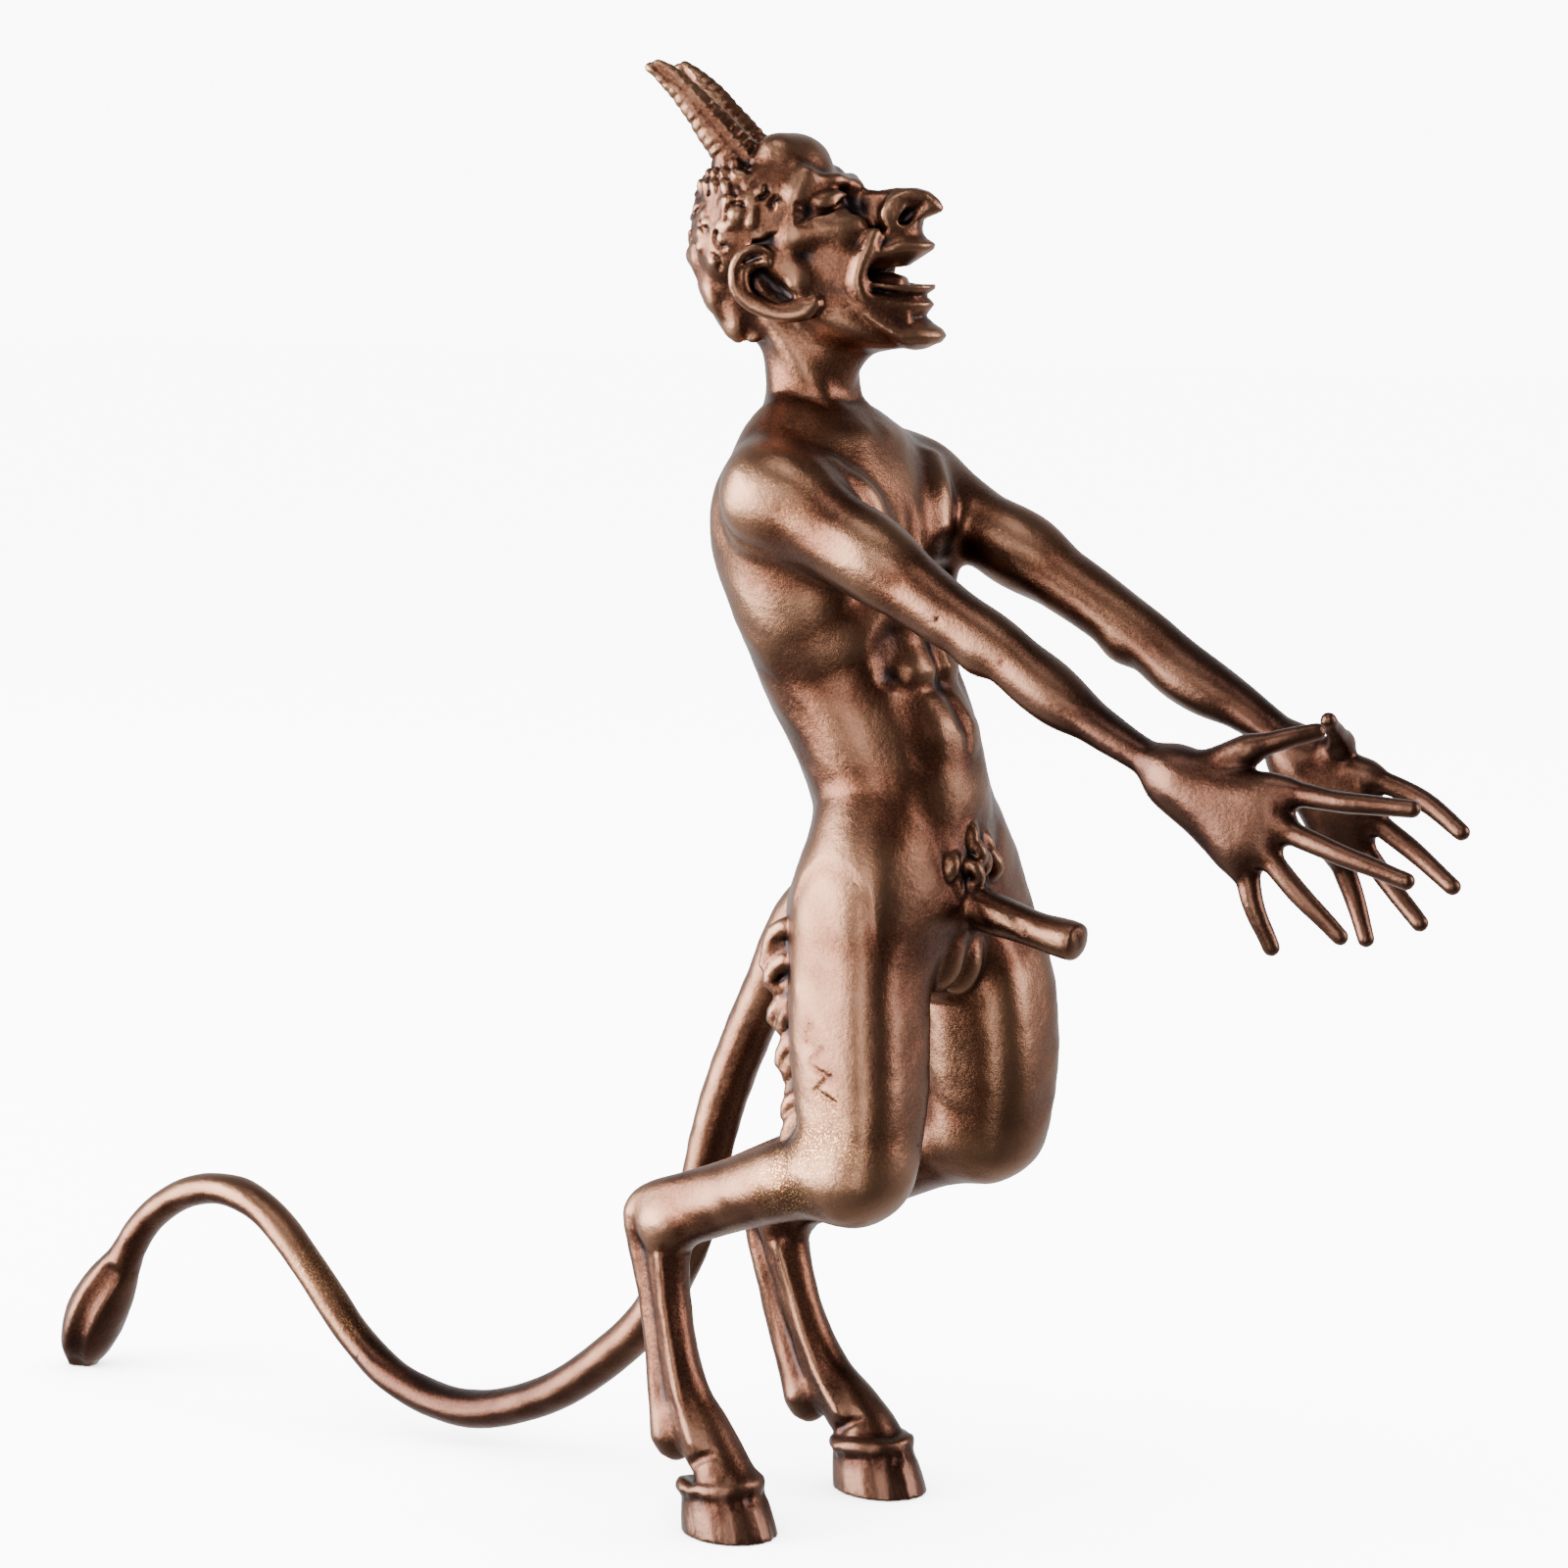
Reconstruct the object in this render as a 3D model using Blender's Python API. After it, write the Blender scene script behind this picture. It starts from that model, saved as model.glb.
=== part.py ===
"""A small cast bronze faun, striding on bent goat legs with both arms held out.

The whole statue is one casting, so it is one solid: limbs and lumps of clay are lofted,
fused by a voxel remesh, carved, thinned to a light mesh and cut flat under the hooves.

Units: metres, +Z up. The figure faces +X and its left hand is on +Y.
"""
import bpy
import bmesh
import math
from mathutils import Matrix, Vector

# Driving sizes, in metres
STATUE_HEIGHT = 0.240          # floor to the tips of the horns

# The pose, proportions and carving below are shares of that height, written in 240ths of it
UNIT = STATUE_HEIGHT / 240

# Clay and mesh, in units
CLAY_GRAIN = 0.6               # voxel of the remesh that fuses the clay
DETAIL_PASSES = 1              # rounds of smoothing over everything
SKIN_PASSES = 14               # more rounds over the bare skin of body and limbs
MESH_SHARE = 0.0265            # share of the fused mesh's faces that is kept
RING_SIDES = 18                # sides of each lofted ring
RINGS_PER_STEP = 3             # rings between two stations of a limb

# The body leans a little over its left hoof, so that its weight falls between hooves and tail
LEAN = 8.0                     # how far the hips lie further left than the hooves
LEAN_BACK = 0.727              # how far back they lie for each unit to the left
HIP_HIGH = 100

# Torso stations from the crotch up: x, z, half depth, half width
TORSO = [(21.6, 99, 10, 14), (21.6, 104, 12.2, 18.6), (20.8, 110, 12.8, 19.2), (19.6, 116, 13.2, 17.4),
         (18.4, 122, 13.2, 15.8), (16.6, 129, 14.0, 16.6), (13.6, 135, 14.3, 17.2),
         (9.8, 141, 14.2, 18.0), (7.6, 148, 15.6, 19.4), (5.6, 156, 16.6, 20.6),
         (4.6, 163, 17.0, 21.6), (3.8, 169, 15.6, 21.8), (3.0, 174, 12.6, 19.5),
         (1.6, 178.5, 9.8, 14.5), (1.0, 182.5, 8.6, 9.4), (1.2, 187, 8.0, 7.4), (1.4, 193, 8.8, 7.6)]

# Each arm, shoulder to wrist: x, z, half depth, half width; both arms hang at ARM_OUT
ARM_OUT = 20
ARM_RIGHT = [(6.6, 171.0, 7.6, 7.4), (11.5, 169.6, 8.2, 7.2), (18, 166.0, 7.6, 6.6), (30, 159.6, 6.3, 5.6),
             (42, 153.2, 5.7, 5.2), (51, 148.4, 5.2, 4.8), (60, 143.8, 4.7, 4.4), (68, 139.5, 4.0, 3.9),
             (76, 135.1, 3.3, 3.5), (83.5, 131.2, 3.9, 3.0)]
ARM_LEFT = [(6.6, 170.6, 7.4, 7.4), (11.5, 168.6, 7.6, 7.2), (20.5, 163.8, 6.9, 6.4), (33, 157.2, 6.3, 5.7),
            (44, 151.2, 5.7, 5.3), (53, 146.4, 5.4, 5.0), (61, 142.2, 5.1, 4.6), (70, 137.6, 4.3, 4.0),
            (77, 133.6, 3.4, 3.5), (83.5, 130.4, 3.8, 3.0)]

# Hands: finger paths from the wrist outwards, x, y, z with y measured out from the midplane
WRIST = (83, 20, 131)
FINGER_RADII = [2.3, 1.75, 1.5, 1.35]
HAND_RIGHT = {"thumb": [(89, 19.6, 132.4), (95.1, 18.6, 135.6), (100, 16.6, 137.4), (104.1, 13.4, 138.6)],
              "index": [(93, 20, 129.6), (103, 20, 129.9), (112, 20.2, 129.3), (122.6, 19, 129)],
              "middle": [(93, 20.4, 127.6), (102.8, 21, 124.6), (112, 22, 122), (123, 21.4, 118.8)],
              "ring": [(91.5, 20.6, 126), (100, 21.6, 120.8), (106, 22.2, 115.6), (112.3, 21, 109.7)],
              "little": [(90, 20.6, 125), (96.3, 21.6, 118.6), (98.6, 22.2, 112.8), (100.8, 21, 107)]}
HAND_LEFT = {"thumb": [(87, 19.6, 130), (90.2, 18.6, 132.4), (91.6, 15, 134.6), (92.6, 10.6, 137.2)],
             "index": [(89, 20, 127.4), (95, 20.2, 127.4), (104, 20.8, 124.4), (111, 19.2, 120.6)],
             "middle": [(88.4, 20.4, 125.4), (94.6, 21.2, 121), (102, 21.8, 116), (109, 20.4, 111.8)],
             "ring": [(87.4, 20.6, 123.6), (92, 21.6, 117.2), (97, 22.2, 111), (103.4, 20.8, 105.4)],
             "little": [(86, 20.6, 122.4), (88.6, 21.6, 114.6), (91.4, 22.2, 107.4), (94, 20.8, 102)]}

# Legs, hip to fetlock: x, z, half depth, half width, and how far out each stretch lies
HIP_OUT = 14.0
KNEE_OUT = 17.0
FOOT_OUT = 18.0
THIGH_RIGHT = [(22.4, 107, 9.2, 8.8), (21.4, 99, 10.6, 9.8), (21.4, 90, 11.6, 10.6), (22.0, 80, 11.4, 10.4),
               (22.6, 71, 10.2, 9.6), (21.6, 63.5, 9.2, 8.6)]
SHANK_RIGHT = [(20.5, 62.4, 8.4, 8.2), (13, 60.6, 7.6, 7.6), (5, 57.6, 7.0, 7.0), (-4, 54.4, 6.0, 6.0),
               (-10.5, 52.0, 5.4, 5.2), (-16, 50.2, 4.6, 4.6)]
CANNON_RIGHT = [(-15.6, 50, 6.0, 5.0), (-15.8, 44, 4.8, 4.3), (-15.4, 37, 4.0, 4.0), (-13.6, 28, 4.0, 4.2),
                (-11.6, 20.5, 4.8, 4.6), (-8.4, 14.8, 5.6, 5.2), (-4.2, 10.2, 5.4, 5.4), (-2.6, 7.0, 6.0, 6.0)]
THIGH_LEFT = [(20.8, 107, 9.2, 8.8), (23.4, 98.5, 10.4, 9.8), (25.6, 89, 11.2, 10.4), (26.0, 79, 11.2, 10.2),
              (25.6, 71, 10.4, 9.6), (24.4, 64.4, 9.4, 8.8)]
SHANK_LEFT = [(22.6, 63.6, 7.8, 8.0), (14, 60.2, 7.2, 7.4), (5, 56.0, 6.8, 6.8), (-5, 51.6, 6.0, 6.0),
              (-13, 47.8, 5.4, 5.2), (-19, 45.0, 4.6, 4.6)]
CANNON_LEFT = [(-19.4, 45, 6.4, 5.2), (-18.6, 39, 5.2, 4.4), (-16.6, 32, 4.3, 4.0), (-13.4, 24.4, 4.4, 4.2),
               (-9.4, 17.4, 5.2, 4.8), (-4.4, 12.6, 5.6, 5.2), (0.0, 9.2, 5.6, 5.4), (1.4, 6.6, 6.0, 6.0)]
HOOF_HIGH = 8.2
HOOF_RIGHT_X = -3.0
HOOF_LEFT_X = 2.2
HOOF_LONG = 8.8                # half length of the sole
HOOF_WIDE = 6.9                # half width of the sole

# Tail, root to tuft: x, z, radius
TAIL = [(10, 104, 5.0), (2, 102, 4.6), (-3.4, 96, 4.2), (-7.6, 87, 4.1), (-11.6, 79.5, 4.1), (-15.7, 70.5, 4.0),
        (-18.8, 62.4, 3.9), (-21.2, 54, 3.8), (-23.8, 43.8, 3.7), (-27.8, 35.6, 3.6), (-33.6, 27.2, 3.6),
        (-41.6, 20, 3.6), (-52, 12.8, 3.5), (-62.5, 8.2, 3.4), (-72.5, 5.9, 3.4), (-82.5, 6.5, 3.2),
        (-91.6, 9.4, 3.1), (-99.5, 14.6, 3.0), (-108, 23, 3.0), (-115, 29.9, 3.0), (-121.1, 34.4, 3.0),
        (-127.3, 36.8, 3.0), (-133.8, 37, 2.9), (-141, 35.2, 2.9), (-147.8, 31.3, 2.9), (-152.6, 26.8, 3.0),
        (-156.3, 21.4, 3.3), (-160.1, 16, 4.9), (-163.4, 10.6, 5.7), (-166, 5.4, 5.0), (-167.6, 1.2, 2.8)]
TAIL_BREADTH = 1.12            # how much wider than deep it is

# Head, in its own frame: s ahead, l to its left, z up; the frame is turned about the neck
HEAD_TURN = math.radians(18)
NECK_X = 1.5
HORN_RINGS = 10


def along(stations, steps):
    """Points of a smooth (Catmull-Rom) line through the stations, with every number blended."""
    points = [Vector(s) if len(s) < 4 else tuple(s) for s in stations]
    rows = [list(p) for p in points]
    rows = [rows[0]] + rows + [rows[-1]]
    smooth = []
    for i in range(1, len(rows) - 2):
        for k in range(steps):
            t = k / steps
            row = []
            for a, b, c, d in zip(rows[i - 1], rows[i], rows[i + 1], rows[i + 2]):
                row.append(0.5 * (2 * b + (c - a) * t + (2 * a - 5 * b + 4 * c - d) * t * t
                                  + (3 * b - a - 3 * c + d) * t ** 3))
            smooth.append(row)
    smooth.append(rows[-2])
    return smooth


def loft(bm, rows, side=(0, 1, 0), place=None, steps=RINGS_PER_STEP, round_ends=1.0):
    """Loft a closed limb through rows of x, y, z, half depth, half width, with rounded ends."""
    place = place or Matrix.Identity(4)
    rows = along(rows, steps)
    points = [Vector(r[:3]) for r in rows]
    rings = []
    last = len(rows) - 1
    for i, row in enumerate(rows):
        run = (points[min(i + 1, last)] - points[max(i - 1, 0)]).normalized()
        wide = (Vector(side) - run * run.dot(Vector(side))).normalized()
        rings.append((points[i], run, run.cross(wide), wide, row[3], row[4]))
    first_end = [(rings[0], -math.cos(a), math.sin(a)) for a in (0.35, 0.8, 1.2)]
    last_end = [(rings[-1], math.cos(a), math.sin(a)) for a in (1.2, 0.8, 0.35)]
    full = first_end + [(ring, 0, 1) for ring in rings] + last_end
    loops = []
    for (centre, run, deep, wide, depth, width), shift, share in full:
        middle = centre + run * (shift * round_ends * min(depth, width))
        loop = []
        for k in range(RING_SIDES):
            turn = 2 * math.pi * k / RING_SIDES
            corner = middle + deep * (share * depth * math.cos(turn)) + wide * (share * width * math.sin(turn))
            loop.append(bm.verts.new(place @ corner))
        loops.append(loop)
    for one, two in zip(loops, loops[1:]):
        for k in range(RING_SIDES):
            n = (k + 1) % RING_SIDES
            bm.faces.new((one[k], one[n], two[n], two[k]))
    bm.faces.new(list(reversed(loops[0])))
    bm.faces.new(loops[-1])


def lump(bm, centre, radii, pitch=0.0, yaw=0.0, place=None):
    """Add an ellipsoid; pitch tips its x axis down towards +x, yaw turns it about z."""
    place = place or Matrix.Identity(4)
    turn = Matrix.Rotation(math.radians(yaw), 4, "Z") @ Matrix.Rotation(math.radians(pitch), 4, "Y")
    shape = place @ Matrix.Translation(centre) @ turn @ Matrix.Diagonal((*radii, 1))
    bmesh.ops.create_icosphere(bm, subdivisions=3, radius=1, matrix=shape)


def limb(bm, rows, out, out_at_end=None):
    """Loft a limb whose rows are x, z, half depth, half width, from one distance out to another."""
    out_at_end = out if out_at_end is None else out_at_end
    last = len(rows) - 1
    loft(bm, [(x, out + (out_at_end - out) * i / last, z, deep, wide)
              for i, (x, z, deep, wide) in enumerate(rows)])


def build_torso(bm):
    limb(bm, TORSO, 0)
    for side in (-1, 1):
        lump(bm, (15.0, side * 9.4, 103), (11.6, 9.4, 11.0))               # buttock
        lump(bm, (12.6, side * 8.8, 163.5), (7.8, 8.8, 7.2), pitch=-8)     # breast muscle
        lump(bm, (-3.8, side * 9.4, 165), (5.6, 8.0, 10.0), pitch=-6)      # shoulder blade
        lump(bm, (7.4, side * 20, 170.2), (7.8, 6.8, 8.2))                 # shoulder cap
        lump(bm, (8.4, side * 15.5, 157), (10.5, 6.0, 10.0))               # side of the ribs
        lump(bm, (20.2, side * 4.8, 146), (3.6, 4.8, 4.2), pitch=-14)      # belly muscle, upper
        lump(bm, (23.4, side * 4.8, 137.4), (3.6, 5.0, 4.4), pitch=-18)    # belly muscle, lower
        loft(bm, [(-2, side * 2.5, 188, 3.8, 4.0), (-2, side * 6, 183, 4.2, 5.0), (0, side * 11, 178.8, 4.6, 5.0),
                  (3.4, side * 17, 174.6, 4.6, 5.0)])                      # slope of neck to shoulder
        loft(bm, [(13.4, side * 2.4, 178.4, 1.6, 1.6), (11.0, side * 9, 177.8, 1.5, 1.5),
                  (8.6, side * 16, 177.0, 1.6, 1.6)], side=(0, 0, 1))      # collar bone
    lump(bm, (22.0, 0, 124), (10.6, 12.6, 9.6))                            # belly
    lump(bm, (22.4, 0, 130.5), (9.2, 10.6, 6.4))                           # above the navel
    lump(bm, (27.6, 0, 111.5), (5.2, 6.4, 4.4))                            # pubic tuft


def build_sex(bm):
    loft(bm, [(25, 0, 106, 4.2, 4.2), (31.5, 0, 105, 3.5, 3.5), (40, 0, 103.8, 3.15, 3.15),
              (47.6, 0, 102.6, 3.2, 3.2), (52.4, 0, 102.0, 3.3, 3.3)], round_ends=0.45)
    lump(bm, (28.0, -2.2, 95.0), (3.8, 3.0, 6.6), pitch=8)
    lump(bm, (28.4, 2.2, 94.0), (3.8, 3.0, 6.6), pitch=8)


def build_hand(bm, fingers, side):
    wrist = (WRIST[0], side * WRIST[1], WRIST[2])
    for name, path in fingers.items():
        rows = [(*wrist, 2.9, 2.9)]
        for (x, y, z), radius in zip(path, FINGER_RADII):
            rows.append((x, side * y, z, radius, radius))
        loft(bm, rows)
    knuckles = [Vector(fingers[name][1]) for name in ("index", "middle", "ring", "little")]
    middle = sum(knuckles, Vector()) / 4
    centre = middle.lerp(Vector(WRIST), 0.45)
    slope = math.degrees(math.atan2(WRIST[2] - middle[2], middle[0] - WRIST[0]))
    lump(bm, (centre[0], side * centre[1], centre[2]), (7.6, 2.7, 5.8), pitch=slope)


def build_arms(bm):
    limb(bm, ARM_RIGHT, -ARM_OUT)
    limb(bm, ARM_LEFT, ARM_OUT)
    build_hand(bm, HAND_RIGHT, -1)
    build_hand(bm, HAND_LEFT, 1)


def build_hoof(bm, x, side):
    """A goat's hoof: a block flaring down to a sole, with a cleft at the toe cut later."""
    rings = []
    for share, long, wide, shift in ((-0.12, 1.0, 1.0, 0), (0, 1.0, 1.0, 0), (0.45, 0.93, 0.93, -0.4),
                                     (0.85, 0.86, 0.88, -0.9), (1.0, 0.72, 0.76, -1.2)):
        ring = []
        for k in range(28):
            turn = 2 * math.pi * k / 28
            ahead = math.cos(turn)
            out = math.sin(turn)
            reach = HOOF_LONG * long * ahead
            breadth = HOOF_WIDE * wide * out * (1 + 0.14 * ahead)
            ring.append(bm.verts.new((x + shift + reach, side * FOOT_OUT + breadth, HOOF_HIGH * share)))
        rings.append(ring)
    for one, two in zip(rings, rings[1:]):
        for k in range(28):
            n = (k + 1) % 28
            bm.faces.new((one[k], one[n], two[n], two[k]))
    bm.faces.new(list(reversed(rings[0])))
    bm.faces.new(rings[-1])


def build_leg(bm, thigh, shank, cannon, hoof_x, side):
    limb(bm, thigh, side * HIP_OUT, side * KNEE_OUT)
    limb(bm, shank, side * KNEE_OUT, side * FOOT_OUT)
    limb(bm, cannon, side * FOOT_OUT)
    hock_x, hock_z = cannon[0][0], cannon[0][1]
    lump(bm, (hock_x - 4.4, side * FOOT_OUT, hock_z + 2.6), (2.6, 3.2, 2.4))      # point of the hock
    knee_x, knee_z = thigh[-1][0], thigh[-1][1]
    lump(bm, (knee_x + 3.0, side * KNEE_OUT, knee_z + 0.4), (7.0, 7.4, 7.6))      # knee
    back = [(x - deep * 1.02, z) for x, z, deep, wide in cannon]
    tendon = [(back[0][0] + 0.6, side * FOOT_OUT, back[0][1], 1.8, 2.2)]
    for x, z in back[1:5]:
        tendon.append((x - 0.9, side * FOOT_OUT, z, 1.5, 2.0))
    tendon.append((back[4][0] - 0.6, side * FOOT_OUT, cannon[5][1] + 1.4, 2.3, 3.2))
    loft(bm, tendon)                                                              # tendon and dewclaw
    build_hoof(bm, hoof_x, side)


def build_fur(bm):
    """Tufts down the back of both thighs, tips pointing back and down in turn."""
    tufts = 9
    for side, thigh in ((-1, THIGH_RIGHT), (1, THIGH_LEFT)):
        for i in range(tufts):
            share = i / (tufts - 1)
            z = 100 - 33 * share
            row = min(thigh, key=lambda r: abs(r[1] - z))
            back = row[0] - row[2]
            for k, out in ((0, 13.5), (1, 18.5)):
                drop = 1.8 * k
                lump(bm, (back + 0.6 + 0.9 * k, side * out, z - drop), (4.2, 3.1, 2.5),
                     pitch=-38 + 16 * ((i + k) % 2), yaw=side * (18 - 30 * k))


def build_tail(bm):
    loft(bm, [(x, 0, z, radius, radius * TAIL_BREADTH) for x, z, radius in TAIL])


def head_place():
    return Matrix.Translation((NECK_X, 0, 0)) @ Matrix.Rotation(HEAD_TURN, 4, "Z")


def build_head(bm):
    place = head_place()
    lump(bm, (-7.2, 0, 212.6), (12.8, 11.8, 13.4), place=place)                       # skull
    lump(bm, (-9.6, 0, 204.0), (9.6, 9.6, 9.4), place=place)                          # back of the head
    lump(bm, (-3.4, 0, 217.6), (8.0, 10.4, 9.8), place=place)                         # forehead
    lump(bm, (3.0, 0, 208.6), (10.6, 10.4, 11.4), pitch=-32, place=place)             # face
    loft(bm, [(-3, 0, 199, 7.0, 9.0), (6, 0, 198.4, 5.6, 8.6), (13, 0, 197.8, 4.6, 6.8),
              (18.4, 0, 197.0, 3.6, 4.4)], place=place)                               # lower jaw
    lump(bm, (19.6, 0, 196.4), (2.9, 3.6, 2.5), place=place)                          # chin
    loft(bm, [(12, 0, 203.4, 2.0, 7.0), (16.4, 0, 202.8, 1.9, 5.4), (18.8, 0, 202.4, 1.6, 3.6)],
         place=place, round_ends=0.8)                                                 # lower lip
    loft(bm, [(8, 0, 209.4, 3.4, 8.0), (13.6, 0, 210.2, 2.4, 6.4), (18.2, 0, 210.4, 1.5, 3.6)],
         place=place, round_ends=0.8)                                                 # upper jaw and lip
    loft(bm, [(4.0, 0, 218.6, 3.2, 3.4), (9.6, 0, 217.0, 3.3, 2.6), (14.6, 0, 216.8, 3.3, 3.0),
              (18.6, 0, 217.0, 2.5, 2.7), (21.0, 0, 216.2, 1.3, 1.6)], place=place)   # nose
    for side in (-1, 1):
        lump(bm, (4.0, side * 5.6, 220.6), (2.6, 4.8, 1.9), pitch=28, yaw=-side * 20, place=place)   # brow
        lump(bm, (14.0, side * 3.5, 214.8), (4.0, 1.9, 2.5), place=place)             # side of the nostril
        lump(bm, (8.4, side * 7.0, 211.6), (3.6, 3.0, 3.6), place=place)              # cheek
        lump(bm, (3.6, side * 8.6, 200.6), (6.2, 3.2, 4.6), place=place)              # jaw corner
        lump(bm, (6.4, side * 6.6, 216.0), (2.4, 2.8, 2.0), place=place)              # closed eye
        build_ear(bm, side, place)
        build_horn(bm, side, place)


def build_ear(bm, side, place):
    """A thick rim curling round a hollow, leaning back with the thrown-back head."""
    rows = []
    for k in range(9):
        turn = math.radians(-70 + 36 * k)
        lean = math.radians(42)
        up = 5.6 * math.cos(turn)
        back = 3.9 * math.sin(turn)
        s = -2.6 - up * math.sin(lean) - back * math.cos(lean)
        z = 204.8 + up * math.cos(lean) - back * math.sin(lean)
        flare = 12.6 + 1.4 * max(0.0, math.sin(turn))
        rows.append((s, side * flare, z, 1.25, 1.35))
    loft(bm, rows, side=(0, side, 0), place=place, steps=2)
    lump(bm, (-1.8, side * 11.6, 204.4), (4.6, 1.4, 4.8), pitch=42, place=place)      # bed of the ear


def build_horn(bm, side, place):
    """A goat's horn leaning back, its rings swelling and pinching in turn."""
    foot = Vector((-10.6, side * 4.6, 224.0))
    bend = Vector((-15.2, side * 4.4, 230.8))
    tip = Vector((-25.6, side * 4.0, 239.4))
    rows = []
    count = 2 * HORN_RINGS
    for i in range(count + 1):
        share = i / count
        point = foot * (1 - share) ** 2 + bend * (2 * share * (1 - share)) + tip * share ** 2
        radius = 3.0 * (1 - share) + 1.1 * share
        swell = 1.14 if i % 2 else 0.84
        rows.append((*point, radius * swell, radius * swell * 0.88))
    loft(bm, rows, place=place, steps=1)


def build_hair(bm):
    """Curls set round the skull on a spiral, thick over the temples and the back of the head."""
    place = head_place()
    centre = Vector((-7.2, 0, 212.2))
    golden = math.pi * (3 - math.sqrt(5))
    curls = 120
    for i in range(curls):
        up = 1 - 2 * (i + 0.5) / curls
        ring = math.sqrt(1 - up * up)
        turn = golden * i
        ahead, left = ring * math.cos(turn), ring * math.sin(turn)
        point = centre + Vector((ahead * 12.6, left * 11.8, up * 13.4))
        hairline = 0.62 + 0.35 * up
        if ahead > hairline * 0.55 or up < -0.72:
            continue
        if ahead > -0.35 and up < -0.30:
            continue
        size = 2.3 + 0.5 * math.sin(5.1 * i)
        lump(bm, point, (size, size, size * 0.9), place=place)


def lean(point):
    """Where a point of the upright pose lies once the body leans over its left hoof."""
    share = min(1.0, max(0.0, point[2] / HIP_HIGH)) - 0.5
    return Vector((point[0] - LEAN * share * LEAN_BACK, point[1] + LEAN * share, point[2]))


def bare_skin(point):
    """1 on the smooth skin of trunk, arms and legs, 0 on head, hands, fur and hooves."""
    x, y, z = point
    head = 190 < z
    hand = x > 84 and z > 95
    hoof = z < 12 and x > -40
    fur = 62 < z < 104 and -8 < x < 14
    groin = x > 26 and 84 < z < 112 and abs(y) < 8
    belly = x > 18 and 126 < z < 152
    return 0.0 if head or hand or hoof or fur or groin else (0.35 if belly else 1.0)


def smooth_skin(faun):
    group = faun.vertex_groups.new(name="bare skin")
    for vertex in faun.data.vertices:
        weight = bare_skin(vertex.co / UNIT)
        if weight:
            group.add([vertex.index], weight, "REPLACE")
    soft = faun.modifiers.new("bare skin", "SMOOTH")
    soft.factor = 0.5
    soft.iterations = SKIN_PASSES
    soft.vertex_group = group.name


def fuse(bm):
    """Turn the clay into one object and fuse it by voxels."""
    mesh = bpy.data.meshes.new("clay")
    bmesh.ops.recalc_face_normals(bm, faces=bm.faces)
    for vertex in bm.verts:
        vertex.co = lean(vertex.co) * UNIT
    bm.to_mesh(mesh)
    bm.free()
    clay = bpy.data.objects.new("clay", mesh)
    bpy.context.collection.objects.link(clay)
    grain = clay.modifiers.new("fuse", "REMESH")
    grain.mode = "VOXEL"
    grain.voxel_size = CLAY_GRAIN * UNIT
    soft = clay.modifiers.new("soften", "SMOOTH")
    soft.factor = 0.5
    soft.iterations = DETAIL_PASSES
    bpy.context.view_layer.update()
    seen = clay.evaluated_get(bpy.context.evaluated_depsgraph_get())
    fused = bpy.data.meshes.new_from_object(seen)
    bpy.data.objects.remove(clay)
    return fused


def groove(point, start, end, radius):
    """How far inside a capsule from start to end the point lies, from 0 at its skin to 1 on its line."""
    line = end - start
    share = max(0.0, min(1.0, (point - start).dot(line) / line.length_squared))
    return max(0.0, 1 - (point - start - line * share).length / radius)


def carve(mesh):
    """Press the mouth, eyes, ears, navel, belly lines and hoof clefts into the fused skin."""
    place = head_place()
    cuts = []
    for side in (-1, 1):
        ear = place @ Vector((-2.6, side * 14.4, 204.8))
        cuts.append((lean(ear), lean(ear + Vector((1.4, 0, -1.6))), 3.0, 2.4))
        eye = [place @ Vector(p) for p in ((8.2, side * 6.0, 215.8), (4.6, side * 10.0, 214.8))]
        cuts.append((lean(eye[0]), lean(eye[1]), 1.6, 0.9))
        nostril = [place @ Vector(p) for p in ((14.4, side * 3.6, 212.8), (18.4, side * 2.0, 214.0))]
        cuts.append((lean(nostril[0]), lean(nostril[1]), 1.7, 1.3))
        hoof_x = HOOF_RIGHT_X if side < 0 else HOOF_LEFT_X
        toe = Vector((hoof_x + HOOF_LONG, side * FOOT_OUT, 0))
        cuts.append((lean(toe), lean(toe + Vector((-2.0, 0, HOOF_HIGH * 0.7))), 2.2, 1.6))
    for low, high, radius, deep in (((32.6, 0, 129), (31.6, 0, 132.6), 1.8, 1.2),     # navel
                                    ((24.0, 0, 152), (28.6, 0, 136), 2.4, 0.9),       # belly line
                                    ((20.6, 0, 172), (22.0, 0, 156), 3.0, 1.0)):      # breastbone
        cuts.append((lean(low), lean(high), radius, deep))
    boxes = [(min(a.x, b.x) - r, max(a.x, b.x) + r, min(a.z, b.z) - r, max(a.z, b.z) + r)
             for a, b, r, deep in cuts]
    moves = []
    for vertex in mesh.vertices:
        point = vertex.co / UNIT
        sink = 0.0
        for (a, b, radius, deep), (low, high, base, top) in zip(cuts, boxes):
            if low < point.x < high and base < point.z < top:
                sink = max(sink, deep * groove(point, a, b, radius) ** 0.7)
        if sink:
            moves.append((vertex.index, vertex.normal * (-sink * UNIT)))
    for index, move in moves:
        mesh.vertices[index].co += move


def cutter(name, bm, kind="DIFFERENCE", target=None):
    """A hidden helper object that a Boolean takes away."""
    mesh = bpy.data.meshes.new(name)
    bm.to_mesh(mesh)
    bm.free()
    helper = bpy.data.objects.new(name, mesh)
    bpy.context.collection.objects.link(helper)
    helper.hide_render = True
    helper.display_type = "WIRE"
    cut = target.modifiers.new(name, "BOOLEAN")
    cut.operation = kind
    cut.solver = "EXACT"
    cut.object = helper
    return helper


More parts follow.
